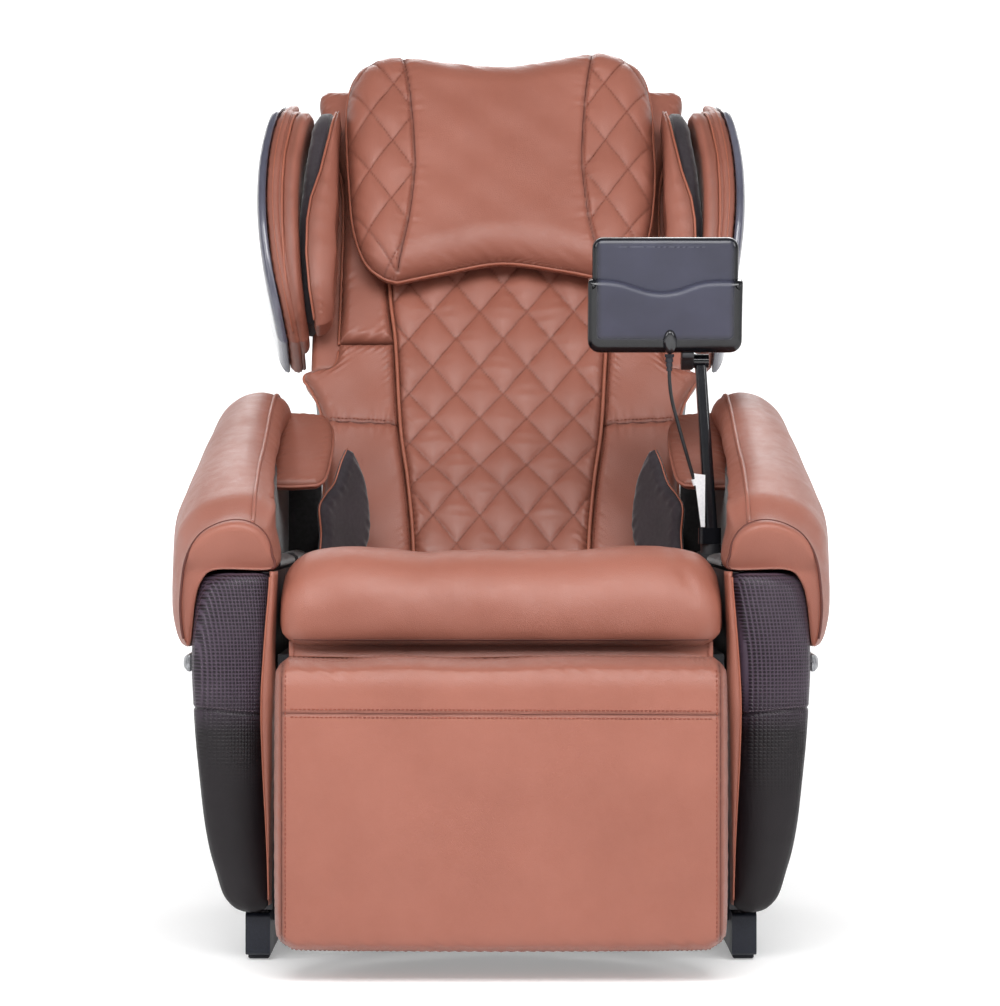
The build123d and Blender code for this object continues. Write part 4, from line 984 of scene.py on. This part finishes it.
# ------------------------------------------------------------------ seat cushion
# Its side view in y and z, from the rear round its bottom and front.
SEAT_LOOP = [(70, 359), (-200, 359), (-470, 359), (-497, 360), (-506, 365), (-510, 382), (-508, 410), (-499, 433),
             (-480, 453), (-455, 463), (-424, 465), (-370, 462), (-200, 449), (0, 436), (66, 431), (84, 416), (85, 374)]
SEAT_HALF, SEAT_SEAM_Z = 248, 366
rings, painted_shade = [], []
for x in np.concatenate([np.linspace(-248, -214, 12), np.linspace(-208, 208, 90), np.linspace(214, 248, 12)]):
    ring = loop(SEAT_LOOP, 150)
    y, z = ring[:, 0], ring[:, 1]
    end = SEAT_HALF - abs(x)
    pull = 26 * (1 - roundness(end, 30.0))
    top = np.clip((z - 400) / 50, 0, 1)
    front = np.clip((-380 - y) / 60, 0, 1)
    bump = 5.0 * np.exp(-((abs(x) - 165) / 46) ** 2) - 1.5 * np.exp(-((abs(x) - 84) / 16) ** 2)
    rise = bump * top + 1.5 * swell(x, y + z, 51, 120) * np.clip(end / 40, 0, 1)
    rise = rise + 0.9 * np.clip(swell(x * 1.5, y - z, 53, 75), 0, 2) * front
    rise = rise - 2.5 * np.exp(-((x - 205 + (z - 440) * 0.5) / 7) ** 2) * front * np.exp(-((z - 440) / 22) ** 2)
    rise = rise - 15 * np.clip((abs(x) - 192) / 56, 0, 1) ** 2 * top
    rise = rise * (z > SEAT_SEAM_Z)
    seam_low = np.exp(-(((z - SEAT_SEAM_Z) / 2.0) ** 2)) * front
    ring = ring + outward(ring) * (rise - pull - 2.4 * seam_low)[:, None]
    rings.append(metres(x, ring[:, 0], ring[:, 1]))
    # painted shade along the front seam
    painted_shade.append(0.15 * seam_low)
seat = loft("seat_cushion_cover", rings, tan_leather, "chair", np.concatenate(painted_shade))
declare(seat, node="seat_cushion", fill=0.85)
# Dark tube of painted shadow along the seat's front seam.
ends = on_mesh(seat, [(x / 1000, -0.62, 0.3662) for x in np.linspace(-232, 232, 90)], (0, 1, 0))
seam_shadow_line("seat_front_seam_shadow", [ends], "chair", 0.8)

# ------------------------------------------------------------------ strip of leather under the seat's front edge
COLUMNS, LINES = 120, 14
APRON_HALF, APRON_HIGH = 238, 19
xx, ss = np.meshgrid(np.linspace(-APRON_HALF, APRON_HALF, COLUMNS), np.linspace(0, 1, LINES))
sag = 2.2 * np.sin(np.pi * np.clip(ss, 0, 1)) * (1 - np.exp(-(APRON_HALF - np.abs(xx)) / 26))
pleat = 1.2 * np.sin((xx + 190 * ss) / 30) * np.exp(-((np.abs(xx) - 185) / 45) ** 2) * np.sin(np.pi * ss)
yy = -490.5 + sag + pleat * 0.8 + 2.5 * (ss > 0.93)
front_face = metres(xx, yy, 345.5 + APRON_HIGH * ss + 1.1 * np.sin(xx / 58) * (1 - ss)).reshape(-1, 3)
rear_face = front_face + [0, 0.0012, 0]
count = COLUMNS * LINES
faces = quads(LINES, COLUMNS)
faces += [tuple(count + i for i in face[::-1]) for face in faces]
rim = [*range(COLUMNS), *range(2 * COLUMNS - 1, count, COLUMNS), *range(count - 2, count - COLUMNS - 1, -1),
       *range(count - 2 * COLUMNS, 0, -COLUMNS)]
faces += [(a, count + a, count + b, b) for a, b in zip(rim, rim[1:] + rim[:1])]
apron = piece("seat_apron_cover", np.vstack([front_face, rear_face]), faces, tan_leather, "chair")
declare(apron, node="seat_apron")
ends = []
for side in (-1, 1):
    run = np.array([[side * 0.2325, -0.4912, z] for z in np.linspace(0.3470, 0.3635, 5)])
    ends.append((run, np.tile([0.0, -1.0, 0.0], (5, 1))))
apron_thread = stitches("seat_apron_stitches", ends, "chair", 3.4, 0.5)

# ------------------------------------------------------------------ legrest
LEG_LEFT = [(-229, 36), (-241, 46), (-246, 70), (-247, 200), (-246, 320), (-243, 340), (-232, 351)]
LEG_RIGHT = [(-x, z) for x, z in LEG_LEFT]
LEG_TOP = [(-232, 351), (-170, 349.5), (-115, 352.5), (-20, 349.5), (70, 352.5), (232, 351)]


def leg_roll(x, z):
    top = np.clip((352 - z) / 40, 0, 1)
    low = np.clip((z - 33) / 22, 0, 1)
    return -30 * (1 - np.sqrt(1 - (1 - top) ** 2)) - 16 * (1 - np.sqrt(1 - (1 - low) ** 2))


legrest = Pad(
    "legrest_cover", ([(-229, 36), (-200, 33), (0, 31.5), (200, 33), (229, 36)], LEG_RIGHT, LEG_TOP, LEG_LEFT),
    594, (46, 13), (46, 10), on_legrest, "legrest", (170, 130), "legrest_cushion", seed=61, waviness=0.8,
    shape=leg_roll,
    seams=[{"line": [(-234, 293), (234, 291)], "depth": 1.6, "width": 1.6, "valley": 0.5},
           {"line": [(-236, 40), (-236, 344)], "depth": 1.3, "width": 1.3},
           {"line": [(236, 40), (236, 344)], "depth": 1.3, "width": 1.3}])
rows = [legrest.lay([(-227, z), (227, z - 2)], 4.6) for z in (297.2, 288.8)]
rows += [legrest.lay([(x, 46), (x, 340)], 5.0) for x in (-232, 232)]
stitches("legrest_stitches", rows, "legrest", 3.4, 0.7)
# Dark tubes of painted shadow along the legrest's seams.
lines = ([(-234, 293), (234, 291)], [(-236, 44), (-236, 343)], [(236, 44), (236, 343)])
seam_shadow_line("legrest_seam_shadows", [legrest.lay(line, 6) for line in lines], "legrest")

# ------------------------------------------------------------------ arm pods
# The pod's top, inner side, outer side and lower edge along y.
pod_top = through([(-492, 494), (-470, 501), (-445, 512), (-400, 530), (-300, 562), (-150, 604), (-60, 634),
                   (30, 657), (85, 663), (130, 660), (165, 646), (188, 622), (200, 604)])
pod_in = through([(-492, 258), (-440, 258), (-370, 262), (-250, 272), (-100, 276), (200, 278)])
pod_out = through([(-492, 361), (-470, 363.5), (-430, 373), (-340, 385), (-240, 391), (60, 391), (150, 387),
                   (200, 378)])
pod_low = through([(-492, 359), (-478, 355), (-455, 353), (-300, 356), (-100, 366), (60, 396), (200, 434)])
NOSE = [(259, 444), (258, 462), (263, 480), (276, 494), (297, 500), (321, 495), (342, 481), (356, 454), (361.5, 412),
        (361, 385), (358, 366), (353, 357), (350, 362), (348, 380), (345, 408), (338, 431), (321, 443.6)]


def ledge_width(top):
    """How far the channel's ledge reaches down from a pod's top."""
    return min(0.45 * (top - 444), 90)


def pod_ring(y):
    """The pod's outline in x and z at a place along it. Towards the front it turns into the nose's outline."""
    zt, xi, xo, zl = (float(f(y)) for f in (pod_top, pod_in, pod_out, pod_low))
    span = zt - 450
    nose = float(np.clip((-464 - y) / 8, 0, 1))
    floor = float(np.interp(y, [-386, -366], [xi, 292]))
    ledge = ledge_width(zt)
    slim = float(np.clip((xo - 350) / 41, 0.2, 1))
    inner = [(floor, 444), (floor, zt - ledge * 0.95), (floor * 0.55 + xi * 0.45, zt - ledge * 0.62),
             (xi, zt - ledge * 0.34), (xi + 5, zt - 12), (xi + 18, zt - 3.5), (xi + 38, zt)]
    crown = [(xi + 38) * (1 - k) + xo * k for k in (0.33, 0.62, 0.85, 0.96)]
    outer = [(crown[0], zt - 0.03 * span - 1), (crown[1], zt - 0.13 * span - 2), (crown[2], zt - 0.36 * span - 2),
             (crown[3], zt - 0.66 * span), (xo, zl + 0.72 * (450 - zl)),
             (xo - 2 * slim, zl + min(36, 0.55 * (450 - zl))), (xo - 9 * slim, zl + min(12, 0.3 * (450 - zl))),
             (xo - 20 * slim, zl + 1)]
    rise = 441.4 - zl
    plain = [(354.5, zl + 2), (352.8, zl + 2 + 0.14 * rise), (352.5, zl + 2 + 0.68 * rise),
             (352.4, zl + 2 + 0.92 * rise), (352.3, 443.4)]
    round_corner = [(350.5, zl + 2), (348.5, zl + 16), (345, 410), (338, 431), (321, 443.6)]
    corner = [tuple(a * (1 - nose) + b * nose for a, b in zip(p, q)) for p, q in zip(plain, round_corner)]
    ring = loop(inner + outer + corner, 96)
    share = float(np.clip((-395 - y) / 72, 0, 1))
    share = share * share * (3 - 2 * share)
    return ring * (1 - share) + loop(NOSE, 96) * share


# Stations along the pod, and how far its outline draws in near its two ends and at the front seam.
pod_stations = np.concatenate([[-492, -491.2, -489, -485.5, -481, -477.5, -474.5, -472, -469],
                               np.linspace(-465, 180, 84), [187, 193, 197.5, 200]])
pod_insets = {-492: 4.6, -491.2: 3.0, -489: 1.8, -485.5: 0.9, -481: 0.3, -474.5: 1.2,
              187: 0.8, 193: 2.5, 197.5: 5.5, 200: 9}
rings, painted_shade = [], []
for y in pod_stations:
    ring = pod_ring(y)
    pull = pod_insets.get(float(y), 0.0) * (1 + 1.9 * np.clip((ring[:, 1] - 450) / 30, 0, 1))
    ripple = 0.9 * swell(y * 0.6, ring[:, 0] + ring[:, 1], 71, 130) * np.clip((y + 470) / 40, 0, 1)
    ring = ring + outward(ring) * (ripple - pull)[:, None]
    recess = np.clip((-474 - y) / 18, 0, 1) * 24 * np.clip((500 - ring[:, 1]) / 58, 0, 1) ** 1.3
    rings.append(metres(ring[:, 0], y + recess, ring[:, 1]))
    # painted shade in the seam round the nose's arch, at one station
    painted_shade.append(np.full(len(ring), 0.75 if y == -474.5 else 0.0))
pod = loft("arm_pod_cover_right", rings, tan_leather, "chair", np.concatenate(painted_shade))
declare(pod, node="arm_pod_right", fill=0.85)


def arch(y, x_end, z_end):
    """The pod's outline at y, from its inner lower corner round to its outer lower one, and its way outwards."""
    ring = pod_ring(y)
    count = int(np.argmax((ring[:, 0] > x_end) & (ring[:, 1] < z_end)))
    return ring[:count], outward(ring)[:count]


line, away = arch(-473.5, 356, 366)
line = line + away * 0.1
piping("arm_arch_piping_right", metres(line[:, 0], -473.5, line[:, 1]), 1.3, "chair")
# Dark tube of painted shadow in the arch seam round the pod's nose.
line, away = arch(-476.2, 354, 362)
normals = np.stack([away[:, 0], np.full(len(away), -0.6), away[:, 1]], -1)
normals /= np.linalg.norm(normals, axis=1)[:, None]
seam_shadow_line("arm_arch_seam_right", [(metres(line[:, 0], -476.2, line[:, 1]), normals)], "chair", 1.5)
ridge, _ = on_mesh(pod, [(np.interp(y, [-470, -300, 60, 190], [281, 287, 293, 293]) / 1000, y / 1000, 0.9)
                         for y in np.linspace(-468, 196, 110)], (0, 0, -1))
piping("arm_top_piping_right", ridge + [0, 0, 0.0006], 2.6, "chair", tan_leather)

# ------------------------------------------------------------------ dark padded panels below the pods
# The panel's inner edge, the outer edge of its front and its outer side, up along z.
panel_in = through([(56, 268), (62, 262), (76, 260), (141, 262), (227, 266.5), (295, 268.2), (361, 264.5),
                    (427, 259), (440, 259)])
panel_out = through([(56, 296), (62, 304), (76, 314.7), (100, 322), (141, 331), (227, 341.5), (300, 347),
                     (350, 348), (398, 344), (424, 337), (436, 327), (440, 320)])
panel_side = through([(56, 296), (62, 304), (76, 314.7), (100, 322), (141, 331), (227, 342), (300, 348),
                      (350, 350.5), (440, 350.5)])
PANEL_LOW, PANEL_HIGH = 56, 440


def panel_seam(x):
    """The height of the panel's sewn line."""
    return 8 * (x - 265) / 80


def panel_ring(z):
    xi, xo, xs = float(panel_in(z)), float(panel_out(z)), float(panel_side(z))
    mid = (xi + xo) / 2
    lean = 15 * max(0, (z - 290) / 150) ** 2 + 26 * max(0, (210 - z) / 154) ** 2
    ring = loop(
        [(268.4, 184), (268.4, 20), (268.4, -230), (268.4, -466), (xi + 0.4, -475), (xi + 0.4, -485), (xi + 5, -495),
         (xi + 16, -500.5), (mid, -503.5), (xo - 18, -500.5), (xo - 6, -494), (xo - 0.5, -482),
         ((xo + xs) / 2, -462), (xs, -430),
         (xs, -220), (xs, 20), (xs - 0.5, 160), (xs - 5, 180), (xs - 14, 184.5)], 150)
    ring[:, 1] += lean * np.clip((-440 - ring[:, 1]) / 60, 0, 1)
    return ring


levels = sorted({*np.linspace(56, 440, 84).round(2), *np.linspace(276, 294, 19).round(2), 57.0, 58.5, 61.0,
                 437.5, 439.2})
rings, painted_shade = [], []
for z in levels:
    ring = panel_ring(z)
    pull = 9 * (1 - roundness(min(z - PANEL_LOW, PANEL_HIGH - z), 10.0))
    seam = np.exp(-(((z - (281 + panel_seam(ring[:, 0]))) / 1.7) ** 2))
    ripple = 0.7 * swell(ring[:, 0] + ring[:, 1], z, 81, 140)
    ring = ring + outward(ring) * (ripple * (ring[:, 0] > 275) - pull - 1.8 * seam * (ring[:, 0] > 262))[:, None]
    rings.append(metres(ring[:, 0], ring[:, 1], z))
    # painted shade along the sewn line
    painted_shade.append(0.9 * seam)
panel = loft("arm_panel_cover_right", rings, panel_leather, "chair", np.concatenate(painted_shade))
declare(panel, "dark_leather", "arm_panel_right", 0.9)
starts = [(x / 1000, -0.6, (284.4 + panel_seam(x)) / 1000) for x in np.arange(273, 343, 3.6)]
stitches("arm_panel_stitches_right", [on_mesh(panel, starts, (0, 1, 0))], "chair", 2.6, 0.45, dark_thread,
         "dark_leather")

# leather edge between each panel and the black wall
strip_in = through([(70, 259), (141, 257.5), (227, 256), (295, 255.5), (361, 255), (442, 252)])
rings = []
for z in np.linspace(68, 442, 70):
    a, b = float(strip_in(z)), float(panel_in(z)) + 1.2
    b = max(b, a + 2.5)
    ring = loop([(a, -472), (a, -485), (a + 1.5, -494), ((a + b) / 2, -497.5), (b - 1, -495), (b, -485), (b, -472)], 26)
    rings.append(metres(ring[:, 0], ring[:, 1], z))
declare(loft("arm_edge_right", rings, tan_leather, "chair"), fill=0.9)
piping("arm_edge_piping_right",
       [(panel_in(z) / 1000 + 0.0004, -0.4950, z / 1000) for z in np.linspace(74, 436, 60)], 1.3, "chair")


# ------------------------------------------------------------------ arm flaps and hip bags
def on_flap(x, s, c):
    """A flap lies on a slope: s runs up it from its front edge, c out of its top."""
    return metres(x, -57 + s * 0.896 - c * 0.443, 538 + s * 0.443 + c * 0.896)


def on_hip(s, z, c):
    """A hip bag stands across the seat's corner: s runs back along it, c out of its front."""
    return metres(240 - 0.52 * s - 0.854 * c, -18 + 0.854 * s - 0.52 * c, z)


FLAP_INNER = [(232, 3), (223, 20), (219, 70), (218, 120), (221, 170), (232, 205)]
Pad("arm_flap_cover_right",
    ([(232, 3), (262, -1), (290, 0)], [(290, 0), (290, 212)], [(232, 205), (262, 212), (290, 212)], FLAP_INNER),
    2, (9, 12), (9, 12), on_flap, "chair", (36, 60), "arm_flap_right", seed=91, waviness=0.9)
flap_edge = np.vstack([curve([(289, 0), (262, -1), (232, 3)])(np.linspace(0, 1, 16)),
                       curve(FLAP_INNER)(np.linspace(0.01, 1, 50))])
piping("arm_flap_piping_right", on_flap(flap_edge[:, 0], flap_edge[:, 1], 2), 2.0, "chair", tan_leather)

HIP_FRONT = [(2, 448), (6, 480), (2, 512), (14, 528), (36, 545), (52, 572)]
HIP_REAR = [(98, 448), (110, 475), (112, 503), (103, 540), (88, 568)]
Pad("hip_bag_cover_right",
    ([(2, 448), (98, 448)], HIP_REAR + [(72, 586)], [(64, 588), (72, 586)], HIP_FRONT + [(64, 588)]),
    9, (9, 13), (8, 13), on_hip, "chair", (40, 60), "hip_airbag_right", "dark_fabric", dark_fabric, seed=95,
    flip=True, waviness=1.0)
hip_line = curve(HIP_FRONT + [(66, 589)])(np.linspace(0, 1, 60))
piping("hip_bag_piping_right", on_hip(hip_line[:, 0], hip_line[:, 1], 9), 1.2, "chair")

# ------------------------------------------------------------------ dark lining of the forearm channels
rings = []
for y in np.linspace(-368, 178, 80):
    top = float(pod_top(y))
    top = top - ledge_width(top) * 0.9
    middle, wave = (top + 444) / 2, 1.2 * math.sin(y / 37)
    ring = loop([(291.2, 444), (291.2, middle), (291.2, top), (287.5, top + 2), (284 + wave, top - 6),
                 (281.5 - wave, middle), (283, 452), (286, 444)], 34)
    rings.append(metres(ring[:, 0], y, ring[:, 1]))
declare(loft("arm_lining_right", rings, black_fabric, "chair"), "dark_fabric", fill=0.5)


def on_rear(x, z, c):
    """Points of the curtain that hangs at the rear end of a channel."""
    return metres(x, 168 - c, z)


def on_tray(x, y, c):
    """Points over the channel's floor."""
    return metres(x, y, 448 + c)


Pad("arm_curtain_right",
    ([(239, 444), (290, 444)], [(290, 444), (291, 560), (291, 610)], [(239, 598), (291, 610)],
     [(239, 444), (238.6, 530), (239, 598)]),
    0, (5, 8), (5, 8), on_rear, "chair", (20, 50), None, "dark_fabric", black_fabric, seed=97, waviness=1.5)
for name, low, high in (("arm_rest_bag_front_right", -366, -108), ("arm_rest_bag_rear_right", -52, 150)):
    Pad(name, ([(256, low), (280, low)], [(280, low), (280, high)], [(256, high), (280, high)],
               [(256, low), (256, high)]),
        0, (9, 12), (5, 12), on_tray, "chair", (20, 60), None, "dark_fabric", black_fabric, seed=98, waviness=1.6)

# ------------------------------------------------------------------ silver strip under each pod
trim_low = through([(-470, 329), (-300, 334), (-120, 346), (50, 376), (200, 420)])
trim_high = through([(-470, 345), (-458, 347.5), (-300, 350), (-120, 360), (50, 388), (200, 431)])
rings = []
for y in np.concatenate([[-469, -467, -463, -457], np.linspace(-450, 198, 60)]):
    a, b = float(trim_low(y)), float(trim_high(y))
    out = 360.5 - 6 * math.exp(-(y + 469) / 6)
    ring = loop([(349.5, a + 1), (355, a + 0.5), (out - 1, a + 3), (out, (a + b) / 2), (out - 1, b - 3),
                 (355, b - 0.5), (349.5, b - 1)], 28)
    rings.append(metres(ring[:, 0], y, ring[:, 1]))
declare(loft("arm_trim_cover_right", rings, silver, "chair"), "silver", "arm_trim_right")

# ------------------------------------------------------------------ tablet and its holder
LEAN = math.radians(14)


def on_tablet(x, h, c):
    """Points on the tablet: h runs up it from its lower edge, c out of its back, towards the front of the chair."""
    return metres(204 + x, -84 - h * math.sin(LEAN) - c * math.cos(LEAN),
                  711 + h * math.cos(LEAN) - c * math.sin(LEAN))


def moulding(name, outline, levels, material, slot, node=None):
    """A moulded form on a closed outline: each level is (height out of the back, how far in the outline is)."""
    ring = loop(outline, 180)
    rings = [on_tablet(*(ring - outward(ring) * pull).T, c) for c, pull in levels]
    declare(loft(name, rings, material, "tablet"), slot, node)


def rounded(x0, x1, y0, y1, r):
    """A rounded rectangle with extra points to keep its sides straight."""
    points = []
    for cx, cy, start in ((x1 - r, y0 + r, -90), (x1 - r, y1 - r, 0), (x0 + r, y1 - r, 90), (x0 + r, y0 + r, 180)):
        turns = [math.radians(start + a) for a in (0, 22.5, 45, 67.5, 90)]
        points += [(cx + r * math.cos(a), cy + r * math.sin(a)) for a in turns]
    dense = []
    for a, b in zip(points, points[1:] + points[:1]):
        steps = max(1, int(math.dist(a, b) // 14))
        dense += [(a[0] + (b[0] - a[0]) * k / steps, a[1] + (b[1] - a[1]) * k / steps) for k in range(steps)]
    return dense


edge_round = [(1 - math.cos(a), math.sin(a)) for a in np.linspace(0, math.pi / 2, 9)]
back_levels = [(-0.8, 3.0), (0.0, 1.2), (1.4, 0.2), (3, 0)]
back_levels += [(8 + 7.2 * s, 9.5 * c) for c, s in edge_round] + [(15.35, 11)]
moulding("tablet_body", rounded(-90.7, 90.7, 4.3, 142.7, 13), back_levels, tablet_satin, "gloss_black", "tablet")
# The holder's outline with the two raised corners and the dip between them in place of its upper edge.
HOLDER = [(x, y) for x, y in rounded(-96, 96, 0, 142, 15) if y < 84]
split = next(i for i, (x, y) in enumerate(HOLDER) if x > 90 and i + 1 < len(HOLDER) and HOLDER[i + 1][0] < 0)
HOLDER[split + 1 : split + 1] = [
    (96, 88), (94, 90.5), (86, 91), (66, 91), (50, 90), (34, 86), (18, 80), (0, 77), (-18, 78), (-36, 83),
    (-54, 89), (-70, 91.5), (-86, 92), (-94, 91.5), (-96, 89)]
shell_levels = [(1.0, 2.0), (2.0, 0.6), (3.5, 0.0), (8, 0)]
shell_levels += [(18.5 + 7.5 * s, 9.0 * c) for c, s in edge_round] + [(26.1, 11)]
moulding("tablet_holder_shell", HOLDER, shell_levels, tablet_satin, "grey_shell", "tablet_holder")
# The lug that the holder tilts on: its outline in y and z, and its sections across x.
LUG = [(-80 + 11 * math.cos(a), 697 + 11 * math.sin(a)) for a in np.radians([250, 285, 320, 355, 30, 65, 95])]
LUG += [(-86, 709.5), (-93, 710.5), (-100, 710), (-104, 706), (-103.5, 700), (-99, 697.5), (-93, 692)]
rings = []
for x, pull in ((225.5, 1.0), (226.0, 0.3), (226.8, 0), (239.2, 0), (240.0, 0.3), (240.5, 1.0)):
    ring = loop(LUG, 90)
    ring = ring - outward(ring) * pull
    rings.append(metres(x, ring[:, 0], ring[:, 1]))
declare(loft("tablet_holder_lug", rings, black_plastic, "tablet"), "black_plastic")
moulding("tablet_screen", rounded(-82, 82, 14, 133, 5), [(-1.6, 1.2), (-1.5, 0.3), (-1.0, 0), (-0.6, 0)], screen,
         "screen")
dome = [(6 + 9 * math.cos(a), 15 + 16 * math.sin(a)) for a in np.linspace(0, 2 * math.pi, 24, endpoint=False)]
moulding("tablet_cable_dome", dome, [(20, 0), (26, 0.4), (28.4, 1.6), (29.8, 4.0), (30.2, 6)], gloss_black,
         "gloss_black")
